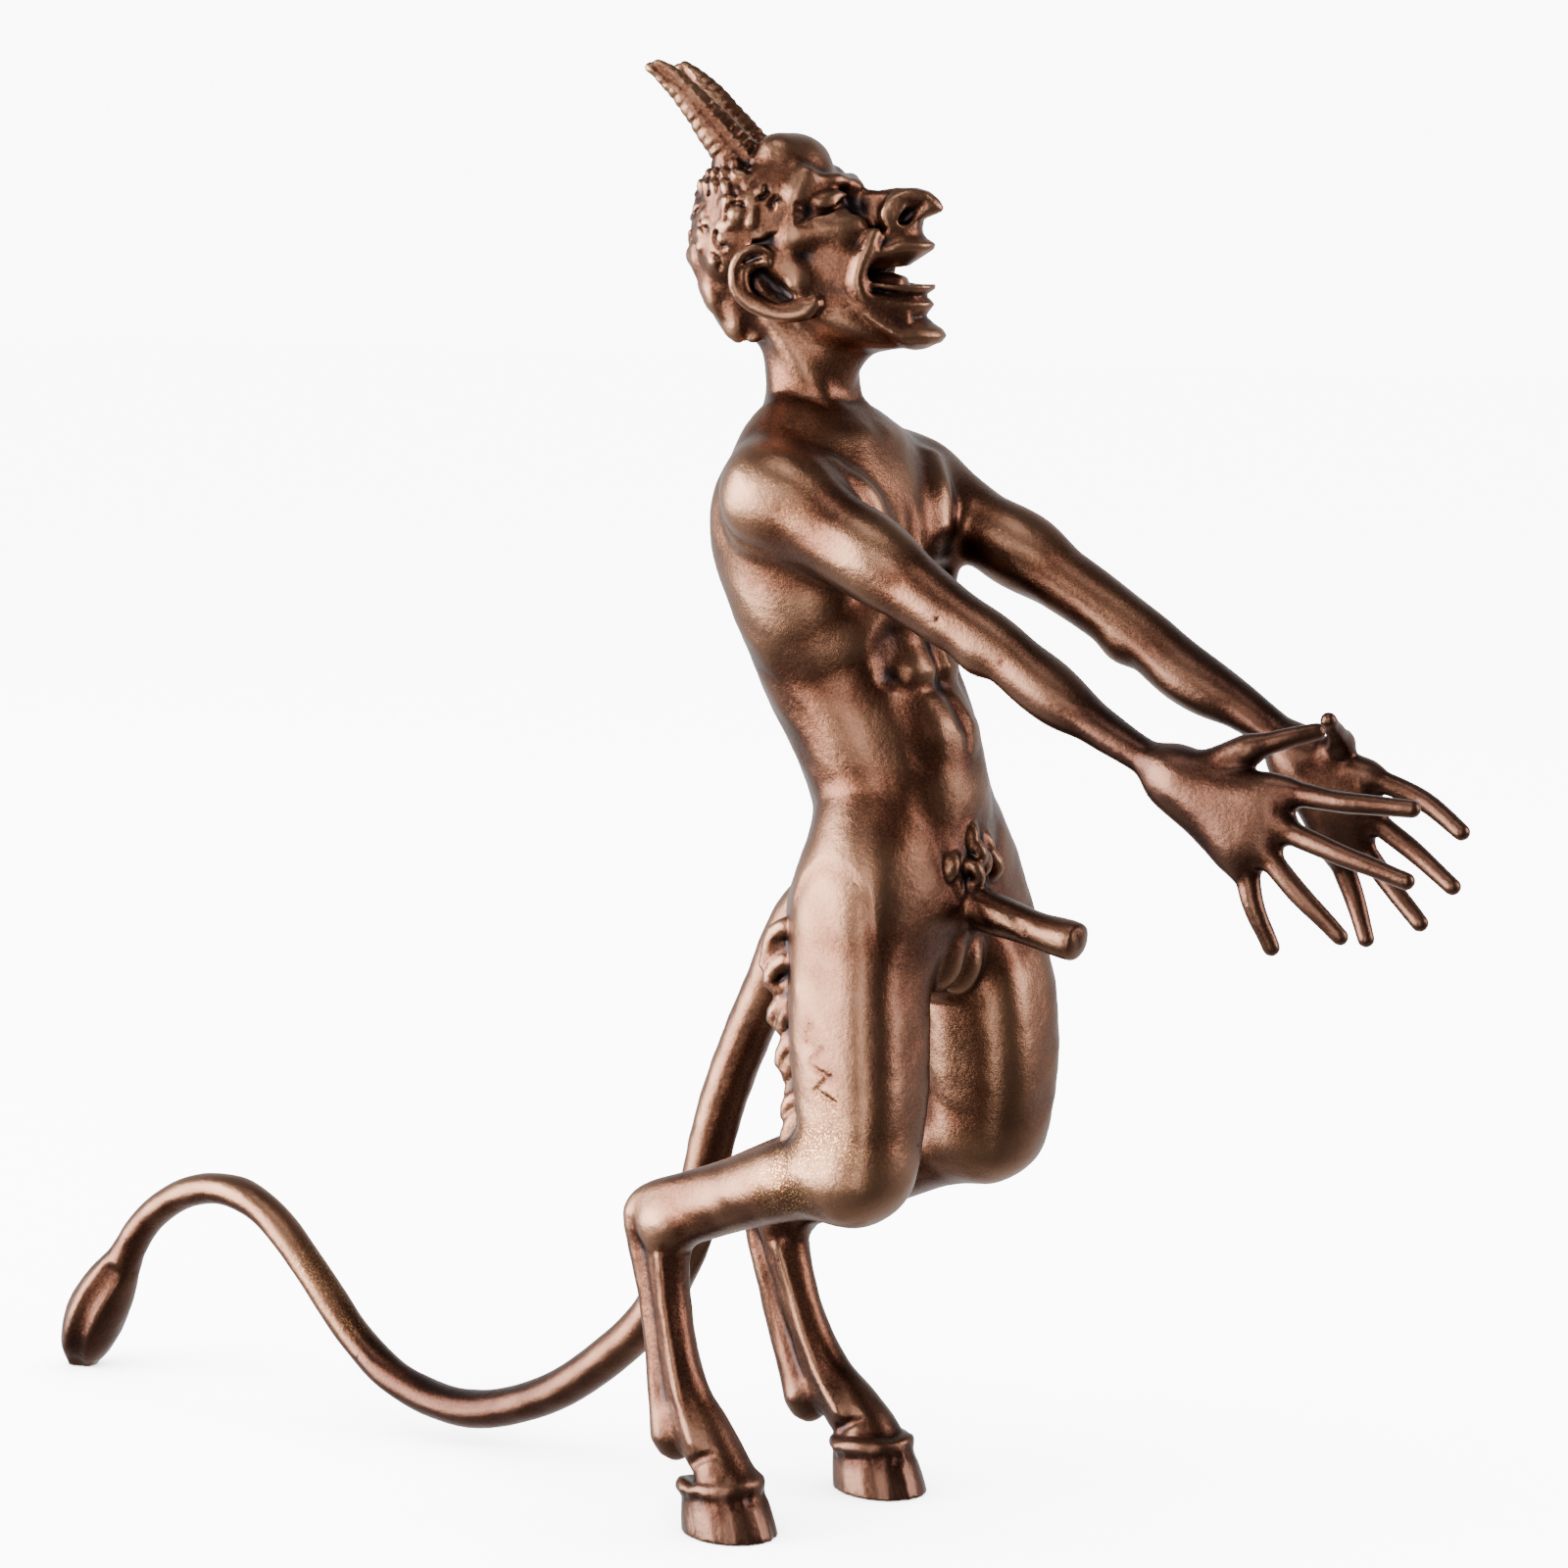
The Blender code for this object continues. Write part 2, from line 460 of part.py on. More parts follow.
def cut_mouth(target):
    """The open mouth: a wedge running back from the parted lips to the corners."""
    bm = bmesh.new()
    place = head_place()
    outline = [(7.5, 205.4), (12.6, 206.9), (16.4, 208.0), (25.0, 210.0), (25.0, 203.4), (12.6, 204.0)]
    near = [bm.verts.new(lean(place @ Vector((s, -9.4, z))) * UNIT) for s, z in outline]
    far = [bm.verts.new(lean(place @ Vector((s, 9.4, z))) * UNIT) for s, z in outline]
    bm.faces.new(near)
    bm.faces.new(list(reversed(far)))
    for k in range(len(outline)):
        n = (k + 1) % len(outline)
        bm.faces.new((near[n], near[k], far[k], far[n]))
    bmesh.ops.recalc_face_normals(bm, faces=bm.faces)
    cutter("mouth_cutter", bm, target=target)


def cut_floor(target):
    """Take off what is below the floor, so the soles and the tip of the tail are flat."""
    bm = bmesh.new()
    size = STATUE_HEIGHT * 3
    bmesh.ops.create_cube(bm, size=size, matrix=Matrix.Translation((0, 0, -size / 2)))
    cutter("floor_cutter", bm, target=target)


def bronze():
    material = bpy.data.materials.new("bronze")
    material.use_nodes = True
    shader = material.node_tree.nodes["Principled BSDF"]
    shader.inputs["Base Color"].default_value = (0.165, 0.082, 0.040, 1)
    shader.inputs["Metallic"].default_value = 1.0
    shader.inputs["Roughness"].default_value = 0.34
    return material


def build():
    for old in list(bpy.data.objects):
        bpy.data.objects.remove(old)
    bm = bmesh.new()
    build_torso(bm)
    build_sex(bm)
    build_arms(bm)
    build_leg(bm, THIGH_RIGHT, SHANK_RIGHT, CANNON_RIGHT, HOOF_RIGHT_X, -1)
    build_leg(bm, THIGH_LEFT, SHANK_LEFT, CANNON_LEFT, HOOF_LEFT_X, 1)
    build_fur(bm)
    build_tail(bm)
    build_head(bm)
    build_hair(bm)
    mesh = fuse(bm)
    carve(mesh)
    mesh.name = "faun"
    faun = bpy.data.objects.new("faun", mesh)
    bpy.context.collection.objects.link(faun)
    mesh.materials.clear()
    mesh.materials.append(bronze())
    smooth_skin(faun)
    cut_mouth(faun)
    thin = faun.modifiers.new("thin out", "DECIMATE")
    thin.ratio = MESH_SHARE
    cut_floor(faun)
    bpy.context.view_layer.update()
    seen = faun.evaluated_get(bpy.context.evaluated_depsgraph_get())
    corners = [Vector(v.co) for v in seen.data.vertices]
    middle_x = (min(c.x for c in corners) + max(c.x for c in corners)) / 2
    middle_y = (min(c.y for c in corners) + max(c.y for c in corners)) / 2
    for thing in bpy.data.objects:
        thing.location = (-middle_x, -middle_y, 0)
    return faun


build()
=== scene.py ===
"""The looks of the bronze faun: one finely modelled mesh over the CAD solid, its patina with painted shade
in its hollows, and a studio.

The figure is modelled like a wax for casting. Lumps and limbs are signed distances on a grid of
fine voxels, blended softly into each other, carved, and turned into a mesh. All shapes are written
in the pose frame: 240ths of the statue's height, +X ahead, +Y to its left, the hooves about the
origin. The last step leans the body and lays it over the CAD box.
"""
import math

import bpy
import numpy as np
from mathutils import Matrix, Vector


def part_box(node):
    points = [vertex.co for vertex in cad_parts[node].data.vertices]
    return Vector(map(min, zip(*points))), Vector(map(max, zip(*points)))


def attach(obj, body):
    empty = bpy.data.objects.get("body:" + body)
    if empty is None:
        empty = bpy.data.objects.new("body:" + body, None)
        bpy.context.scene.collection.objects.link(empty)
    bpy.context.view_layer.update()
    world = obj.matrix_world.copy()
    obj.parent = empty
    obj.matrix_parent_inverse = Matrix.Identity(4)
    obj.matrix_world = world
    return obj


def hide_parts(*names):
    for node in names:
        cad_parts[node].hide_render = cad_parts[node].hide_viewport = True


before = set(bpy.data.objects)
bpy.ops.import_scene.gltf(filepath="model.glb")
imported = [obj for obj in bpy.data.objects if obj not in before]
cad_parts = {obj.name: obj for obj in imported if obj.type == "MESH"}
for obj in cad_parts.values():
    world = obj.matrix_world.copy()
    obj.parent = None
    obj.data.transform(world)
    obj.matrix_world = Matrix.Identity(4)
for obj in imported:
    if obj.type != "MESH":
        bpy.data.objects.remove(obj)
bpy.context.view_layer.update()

# Sizes
STATUE_HEIGHT = 0.240
UNIT = STATUE_HEIGHT / 240
GRAIN = 0.36                    # voxel of the wax, in units
TRIANGLES = 194000              # most triangles of the finished mesh
FAR = 9.0                       # distance that stands for far outside
ALL_ROUNDS = 2                  # rounds of easing: everywhere, and on bare skin
SKIN_ROUNDS = 24
SEED = 7

# The body leans a little over its left hoof, as in the CAD
LEAN = 8.0
LEAN_BACK = 0.727
HIP_HIGH = 100

# Torso stations from the crotch up: x, z, half depth, half width
TORSO = [(21.6, 99, 10, 14), (21.6, 104, 12.2, 18.6), (20.8, 110, 12.8, 19.2), (19.6, 116, 13.2, 17.4),
         (18.4, 122, 13.2, 15.8), (16.6, 129, 14, 16.6), (13.8, 135, 14.1, 17.2),
         (10.2, 141, 13.8, 18), (8.1, 148, 14.9, 19.4), (6.1, 156, 15.9, 20.6),
         (5, 163, 16.4, 21.4), (4.2, 169, 14.9, 21.2), (3.3, 174, 12, 18.4),
         (2, 178.5, 8.8, 12), (1.2, 182.5, 7.9, 8), (1, 187, 7.5, 7), (1, 193, 8.4, 7.4),
         (-1, 200, 8.6, 7.6)]

# Arms, shoulder to wrist: x, z, half depth, half width
ARM_OUT = 20
ARM_RIGHT = [(7, 170.6, 7.6, 7.4), (11.5, 169.4, 8, 7.2), (18, 165.8, 7.2, 6.6), (30, 159.5, 6.2, 5.7),
             (42, 153, 5.1, 5.1), (51, 148.5, 4.7, 4.7), (60, 143.1, 4, 4.3), (68, 138.4, 3.3, 3.8),
             (76, 134.4, 2.8, 3.3), (83.5, 130.9, 3.2, 3), (88, 129, 4.2, 2.6)]
ARM_LEFT = [(7, 170, 7.2, 7.4), (11.5, 168.6, 7.1, 7.2), (20.5, 164.1, 6.2, 6.4), (33, 158, 5.5, 5.7),
            (44, 152.2, 5.1, 5.3), (53, 147, 4.9, 5), (61, 142.1, 4.4, 4.6), (70, 137.7, 3.8, 3.9),
            (77, 133.8, 3.2, 3.4), (82.5, 130.2, 3.5, 3), (86, 127, 4.2, 2.6)]

# Fingers from the wrist out: x, y, z, with y measured out from the midplane
FINGER_RADII = [2.3, 1.9, 1.62, 1.36]
HAND_RIGHT = {"thumb": [(89, 19.6, 132.4), (95.1, 18.6, 135.6), (100, 16.6, 137.4), (104.1, 13.4, 138.6)],
              "index": [(93, 20, 129.6), (103, 20, 129.9), (112, 20.2, 129.3), (123.4, 19, 129)],
              "middle": [(93, 20.4, 127.6), (102.8, 21, 124.6), (112, 22, 122), (124, 21.4, 118.6)],
              "ring": [(91.5, 20.6, 126), (100, 21.6, 120.8), (106, 22.2, 115.6), (112.8, 21, 109.2)],
              "little": [(90, 20.6, 125), (96.3, 21.6, 118.6), (98.6, 22.2, 112.8), (101, 21, 106.4)]}
HAND_LEFT = {"thumb": [(87, 19.6, 130), (90.2, 18.6, 132.4), (91.6, 15, 134.6), (92.6, 10.6, 137.2)],
             "index": [(89, 20, 127.4), (95, 20.2, 127.4), (104, 20.8, 124.4), (111.6, 19.2, 120.2)],
             "middle": [(88.4, 20.4, 125.4), (94.6, 21.2, 121), (102, 21.8, 116), (109.6, 20.4, 111.3)],
             "ring": [(87.4, 20.6, 123.6), (92, 21.6, 117.2), (97, 22.2, 111), (103.8, 20.8, 104.9)],
             "little": [(86, 20.6, 122.4), (88.6, 21.6, 114.6), (91.4, 22.2, 107.4), (94.2, 20.8, 101.5)]}

# Legs: x, z, half depth, half width
HIP_OUT = 14.0
KNEE_OUT = 17.0
FOOT_OUT = 18.0
THIGH_RIGHT = [(21.4, 105, 8.6, 8.2), (21.2, 99, 9.7, 9.2), (21.3, 90, 10.5, 9.9),
               (22, 80, 10.4, 9.8), (22.7, 71, 9.6, 9.2), (21.8, 63, 8.8, 8.4)]
SHANK_RIGHT = [(20.8, 62, 8.6, 8.2), (13, 60.8, 7.4, 7.6), (5, 58.2, 6.5, 6.8), (-4, 54.7, 5.8, 5.7),
               (-10.5, 52, 5.4, 4.8), (-16, 50.2, 4.4, 4)]
CANNON_RIGHT = [(-15, 50, 5, 4.4), (-15, 44, 3.3, 3.8), (-14.4, 37, 2.6, 3.3), (-12.8, 28, 2.7, 3.3),
                (-10.6, 20.5, 3.6, 3.7), (-7.6, 15.2, 4.6, 4.6), (-4.6, 11.2, 4.6, 4.9),
                (-2.8, 7.4, 5.4, 5.4)]
TENDON_RIGHT = [(-20.8, 50.4, 2.4, 2.8), (-20.6, 44, 1.9, 1.9), (-18.9, 36, 1.7, 1.5), (-17.6, 28, 1.8, 1.6),
                (-16.4, 21, 2.2, 2.2), (-15, 15, 2.6, 3.6)]
THIGH_LEFT = [(21.4, 104, 8.4, 8.2), (23.2, 98.5, 9.6, 9.2), (25.9, 89, 10.3, 9.9),
              (26.5, 79, 10.4, 9.8), (26.1, 71, 9.9, 9.2), (24.8, 64.2, 8.8, 8.4)]
SHANK_LEFT = [(22.6, 63.2, 8.2, 8), (14, 60, 7.2, 7.4), (5, 56, 6.8, 6.8), (-5, 51.6, 6, 5.8),
              (-13, 47.8, 5.2, 4.8), (-18.4, 45.2, 4.4, 4)]
CANNON_LEFT = [(-17.4, 45, 5, 4.4), (-16.8, 39, 3.8, 3.8), (-14.6, 32, 3.1, 3.4), (-11.6, 24.4, 3.3, 3.4),
               (-8, 18, 4, 3.8), (-3.8, 13.4, 4.8, 4.6), (-0.2, 10, 4.8, 4.9), (1.2, 7.2, 5.4, 5.4)]
TENDON_LEFT = [(-23.2, 46, 2.4, 2.8), (-22.8, 40, 1.9, 1.9), (-21, 32.6, 1.7, 1.5), (-18.6, 25.6, 1.9, 1.6),
               (-16, 19.4, 2.4, 2.4), (-13.6, 14, 2.8, 3.9)]
HOOF_HIGH = 8.2
HOOF_RIGHT_X = -3.0
HOOF_LEFT_X = 2.2
HOOF_LONG = 8.6
HOOF_WIDE = 6.7

THIGH_BOXY = 2.9                # how flat the sides of the thighs are; 2 would be oval
FUR_TOP_X = 6.2
FUR_LOW_X = 10.6
FUR_ROWS = 13
STROKES = 9                     # scratched strokes on the thigh

# Tail, root to tuft: x, z, radius
TAIL = [(10, 104, 5), (2, 102, 4.6), (-3.4, 96, 4.2), (-7.6, 87, 4.1), (-11.6, 79.5, 4),
        (-15.7, 70.5, 3.9), (-18.8, 62.4, 3.8), (-21.2, 54, 3.7), (-23.8, 43.8, 3.6), (-27.8, 35.6, 3.5),
        (-33.6, 27.2, 3.5), (-41.6, 20, 3.5), (-52, 12.8, 3.4), (-62.5, 8.2, 3.3), (-72.5, 5.9, 3.3),
        (-82.5, 6.5, 3.1), (-91.6, 9.4, 3), (-99.5, 14.6, 2.9), (-108, 23, 2.9), (-115, 29.9, 2.9),
        (-121.1, 34.4, 2.9), (-127.3, 36.8, 2.9), (-133.8, 37, 2.8), (-141, 35.2, 2.8), (-147.8, 31.3, 2.8),
        (-152.6, 26.8, 2.9), (-156.3, 21.4, 3.2), (-160.1, 16, 4.7), (-163.4, 10.6, 5.5), (-166, 5.4, 4.8),
        (-167.6, 1.2, 2.6)]
TAIL_BREADTH = 1.12             # how much wider than deep it is

# Head: its own frame is s ahead, l to its left, z up, turned about the neck
HEAD_TURN = math.radians(18)
NECK_X = 1.5
HEAD = Matrix.Translation((NECK_X, 0, 0)) @ Matrix.Rotation(HEAD_TURN, 4, "Z")
JAW_S = 7.6                     # middle of the arch of the jaws, and its half length and width
JAW_LONG = 12.8
JAW_WIDE = 7.6
JAW_CLOSE = 0.75                # how much its lines close up at the corners of the mouth
MOUTH_Z = 205.4
RING_STEP = 1.7                 # from one ring of a horn to the next
CAP_CENTRE = (-8.2, 0, 212.4)   # the hair cap, in the head's frame
CAP_RADII = (12.4, 11.9, 13.4)
CURLS = 92                      # spots for curls all round the cap; those off the hair are skipped

UPRIGHT = Matrix.Identity(4)
LEFT = (0, 1, 0)
UP = (0, 0, 1)

# Camera, in metres and degrees, and the middle of the figure that the lights look at
CAMERA_X = 0.4484
CAMERA_Y = -0.6256
CAMERA_Z = 0.2223
CAMERA_TURN = 35.91
CAMERA_DOWN = 7.43
CENTRE = (0.02, 0, 0.12)


class Shape:
    """A solid given by its bounding box and a function from grid coordinates to signed distance."""

    def __init__(self, low, high, distance):
        self.low = np.array(low, dtype=float)
        self.high = np.array(high, dtype=float)
        self.distance = distance


def scaled_distance(deep, wide, long, radii):
    """Close to the signed distance from an ellipsoid whose local coordinates and radii are given."""
    a, b, c = radii
    deep = deep / a
    wide = wide / b
    long = long / c
    far = np.sqrt(deep * deep + wide * wide + long * long)
    deep = deep / a
    wide = wide / b
    long = long / c
    steep = np.sqrt(deep * deep + wide * wide + long * long) + 1e-6
    return far * (far - 1) / steep


def measured(direction, x, y, z):
    """How far grid coordinates lie along a direction."""
    return np.float32(direction[0]) * x + np.float32(direction[1]) * y + np.float32(direction[2]) * z


def lump(centre, radii, pitch=0.0, yaw=0.0, side=1, place=UPRIGHT):
    """An ellipsoid, mirrored where side is -1; pitch tips its x axis down ahead, yaw turns it about z."""
    turn = (place.to_3x3() @ Matrix.Rotation(math.radians(side * yaw), 3, "Z")
            @ Matrix.Rotation(math.radians(pitch), 3, "Y"))
    middle = place @ Vector((centre[0], side * centre[1], centre[2]))
    reach = [math.sqrt(sum((turn[i][k] * radii[k]) ** 2 for k in range(3))) for i in range(3)]

    def distance(grids):
        x, y, z = (g - np.float32(m) for g, m in zip(grids, middle))
        deep, wide, long = (measured(turn.col[k], x, y, z) for k in range(3))
        return scaled_distance(deep, wide, long, radii)

    low = [m - r for m, r in zip(middle, reach)]
    high = [m + r for m, r in zip(middle, reach)]
    return Shape(low, high, distance)


def link(start, end, start_radii, end_radii, wide, cap=None, boxy=None):
    """A stretch of limb between two oval sections; wide is the direction of the second radius.

    cap is the depth of its ends, and boxy (2 for an ellipse) flattens the section's sides.
    """
    start, end = Vector(start), Vector(end)
    run = end - start
    length = max(run.length, 1e-6)
    run = run / length
    wide = (wide - run * run.dot(wide)).normalized()
    deep = run.cross(wide)
    a0, b0 = start_radii
    a1, b1 = end_radii

    def distance(grids):
        x, y, z = (g - np.float32(m) for g, m in zip(grids, start))
        ahead = measured(run, x, y, z)
        share = np.clip(ahead / np.float32(length), 0, 1)
        past = ahead - share * np.float32(length)
        a = a0 + (a1 - a0) * share
        b = b0 + (b1 - b0) * share
        across = measured(deep, x, y, z)
        aside = measured(wide, x, y, z)
        if boxy:
            u, v = np.abs(across) / a + 1e-4, np.abs(aside) / b + 1e-4
            flatter = (u ** boxy + v ** boxy) ** (1 / boxy) / np.sqrt(u * u + v * v)
            across, aside = across * flatter, aside * flatter
        return scaled_distance(across, aside, past, (a, b, cap or np.minimum(a, b)))

    low, high = [], []
    corner = 1.12 if boxy else 1.0
    for i in range(3):
        reach0 = corner * math.hypot(deep[i] * a0, wide[i] * b0) + abs(run[i]) * min(a0, b0)
        reach1 = corner * math.hypot(deep[i] * a1, wide[i] * b1) + abs(run[i]) * min(a1, b1)
        low.append(min(start[i] - reach0, end[i] - reach1))
        high.append(max(start[i] + reach0, end[i] + reach1))
    return Shape(low, high, distance)


def along(rows, steps):
    """A smooth (Catmull-Rom) line through the rows, with every number blended."""
    rows = [rows[0]] + list(rows) + [rows[-1]]
    smooth = []
    for i in range(1, len(rows) - 2):
        for k in range(steps):
            t = k / steps
            smooth.append([0.5 * (2 * b + (c - a) * t + (2 * a - 5 * b + 4 * c - d) * t * t
                                  + (3 * b - a - 3 * c + d) * t ** 3)
                           for a, b, c, d in zip(rows[i - 1], rows[i], rows[i + 1], rows[i + 2])])
    smooth.append(list(rows[-1]))
    return smooth


def mirrored(rows, side):
    """Rows with their second number (y or l) on one side."""
    return [(r[0], side * r[1], *r[2:]) for r in rows]


def tube(rows, side=1, steps=3, wide=LEFT, place=UPRIGHT, cap=None, boxy=None):
    """A limb through rows of x, y, z, half depth, half width (or one radius), mirrored where side is -1."""
    rows = [list(r) + [r[3]] * (5 - len(r)) for r in mirrored(rows, side)]
    rows = along(rows, steps)
    wide = place.to_3x3() @ Vector(wide)
    points = [place @ Vector(r[:3]) for r in rows]
    return [link(p, q, r[3:5], s[3:5], wide, cap, boxy)
            for p, q, r, s in zip(points, points[1:], rows, rows[1:])]


def limb(rows, out, out_at_end=None, steps=3, boxy=None):
    """A limb whose rows are x, z, half depth, half width, from one distance out to another."""
    out_at_end = out if out_at_end is None else out_at_end
    last = len(rows) - 1
    return tube([(x, out + (out_at_end - out) * i / last, z, deep, wide)
                 for i, (x, z, deep, wide) in enumerate(rows)], steps=steps, boxy=boxy)


def head_lump(centre, radii, pitch=0.0, yaw=0.0, side=1):
    return lump(centre, radii, pitch, yaw, side, HEAD)


def head_tube(rows, side=1, **kinds):
    return tube(rows, side, place=HEAD, **kinds)


def outline_distance(across, up, corners):
    """Signed distance in a plane from a closed outline of (across, up) corners."""
    nearest = np.float32(1e6)
    inside = False
    for (a, b), (c, d) in zip(corners, corners[1:] + corners[:1]):
        run, rise = np.float32(c - a), np.float32(d - b)
        share = np.clip(((across - a) * run + (up - b) * rise) / (run * run + rise * rise), 0, 1)
        nearest = np.minimum(nearest, (across - a - run * share) ** 2 + (up - b - rise * share) ** 2)
        if rise:
            crosses = ((b <= up) != (d <= up)) & (across < a + (up - b) * run / rise)
            inside = inside ^ crosses
    return np.where(inside, -1, 1) * np.sqrt(nearest)


def head_frame(grids):
    """Grid coordinates as s ahead, l left and z up of the head's own frame."""
    back = HEAD.inverted()
    x, y, z = grids
    ahead = np.float32(back[0][0]) * x + np.float32(back[0][1]) * y + np.float32(back[0][3])
    left = np.float32(back[1][0]) * x + np.float32(back[1][1]) * y + np.float32(back[1][3])
    return ahead, left, z


def head_box(low, high):
    """The grid box round a box given in the head's frame."""
    corners = [HEAD @ Vector((s, l, z)) for s in (low[0], high[0]) for l in (low[1], high[1])
               for z in (low[2], high[2])]
    return [min(c[i] for c in corners) for i in range(3)], [max(c[i] for c in corners) for i in range(3)]


def arch(profile):
    """A profile of (s, z) swept round the arch of the jaws; its lines close up towards the corners."""
    def distance(grids):
        ahead, left, up = head_frame(grids)
        swept = JAW_S + np.sqrt((ahead - JAW_S) ** 2 + (left * np.float32(JAW_LONG / JAW_WIDE)) ** 2)
        close = 1 + JAW_CLOSE * np.clip((17 - ahead) / 7, 0, 1) ** 1.5
        flat = outline_distance(swept, MOUTH_Z + (up - MOUTH_Z) * close, profile)
        return np.maximum(flat * np.float32(0.8), JAW_S - ahead)

    low, high = head_box((JAW_S - 1, -JAW_WIDE - 3, min(z for s, z in profile) - 1),
                         (max(s for s, z in profile) + 1, JAW_WIDE + 3, max(z for s, z in profile) + 1))
    return Shape(low, high, distance)


def plate(profile, widths, soft):
    """A profile of (s, z) with thickness: widths are pairs of s and half width, soft rounds its edges."""
    def distance(grids):
        ahead, left, up = head_frame(grids)
        flat = outline_distance(ahead, up, profile) + np.float32(soft)
        aside = np.abs(left) - np.interp(ahead, *zip(*widths)).astype(np.float32) + np.float32(soft)
        both = np.sqrt(np.maximum(flat, 0) ** 2 + np.maximum(aside, 0) ** 2)
        return both + np.minimum(np.maximum(flat, aside), 0) - np.float32(soft)

    wide = max(w for s, w in widths) + 1
    low, high = head_box((min(s for s, z in profile), -wide, min(z for s, z in profile)),
                         (max(s for s, z in profile), wide, max(z for s, z in profile)))
    return Shape(low, high, distance)


class Wax:
    """The block of voxels that the figure is modelled in."""

    def __init__(self, low, high, grain):
        self.grain = grain
        self.axes = [np.arange(low[i], high[i], grain, dtype=np.float32) for i in range(3)]
        self.field = np.full([len(a) for a in self.axes], FAR, dtype=np.float32)

    def window(self, low, high):
        cut = []
        for axis, a, b in zip(self.axes, low, high):
            first = max(0, int((a - axis[0]) / self.grain))
            last = min(len(axis), int((b - axis[0]) / self.grain) + 2)
            cut.append((first, max(first, last)))
        return cut

    def grids(self, cut):
        x, y, z = (axis[a:b] for axis, (a, b) in zip(self.axes, cut))
        return x[:, None, None], y[None, :, None], z[None, None, :]

    def gather(self, shapes, margin, inner):
        """The window that a shape or a group of shapes fills, and the distance to it there."""
        shapes = [shapes] if isinstance(shapes, Shape) else shapes
        low = np.min([s.low for s in shapes], axis=0) - margin
        high = np.max([s.high for s in shapes], axis=0) + margin
        whole = self.window(low, high)
        near = np.full([b - a for a, b in whole], FAR, dtype=np.float32)
        for shape in shapes:
            cut = self.window(shape.low - margin, shape.high + margin)
            if any(a >= b for a, b in cut):
                continue
            part = tuple(slice(a - w[0], b - w[0]) for (a, b), w in zip(cut, whole))
            near[part] = soft_min(near[part], shape.distance(self.grids(cut)), inner)
        return tuple(slice(a, b) for a, b in whole), near

    def add(self, shapes, blend, inner=0.0):
        """Press a group of shapes onto the figure, with a soft joint of that width."""
        cut, near = self.gather(shapes, blend + 1, inner)
        self.field[cut] = soft_min(self.field[cut], near, blend)

    def carve(self, shapes, blend):
        """Cut a group of shapes out of the figure, with a soft edge."""
        cut, near = self.gather(shapes, blend + 1, 0)
        self.field[cut] = -soft_min(-self.field[cut], near, blend)

    def groove(self, shapes, depth, width):
        """Press a shallow groove along a group of thin shapes: full depth on them, none at width off."""
        cut, near = self.gather(shapes, width + 0.5, 0)
        press = np.clip(1 - near / np.float32(width), 0, 1)
        self.field[cut] += np.float32(depth) * press * press * (3 - 2 * press)

    def score(self, points, depth, width, side=1, radius=0.3, place=UPRIGHT):
        """Press a groove (or raise a ridge, where depth is below 0) along a thin line of points."""
        self.groove(tube([(*p, radius) for p in points], side, place=place), depth, width)


def soft_min(a, b, blend):
    if blend <= 0:
        return np.minimum(a, b)
    near = np.maximum(np.float32(blend) - np.abs(a - b), 0) / np.float32(blend)
    return np.minimum(a, b) - near * near * np.float32(blend / 4)


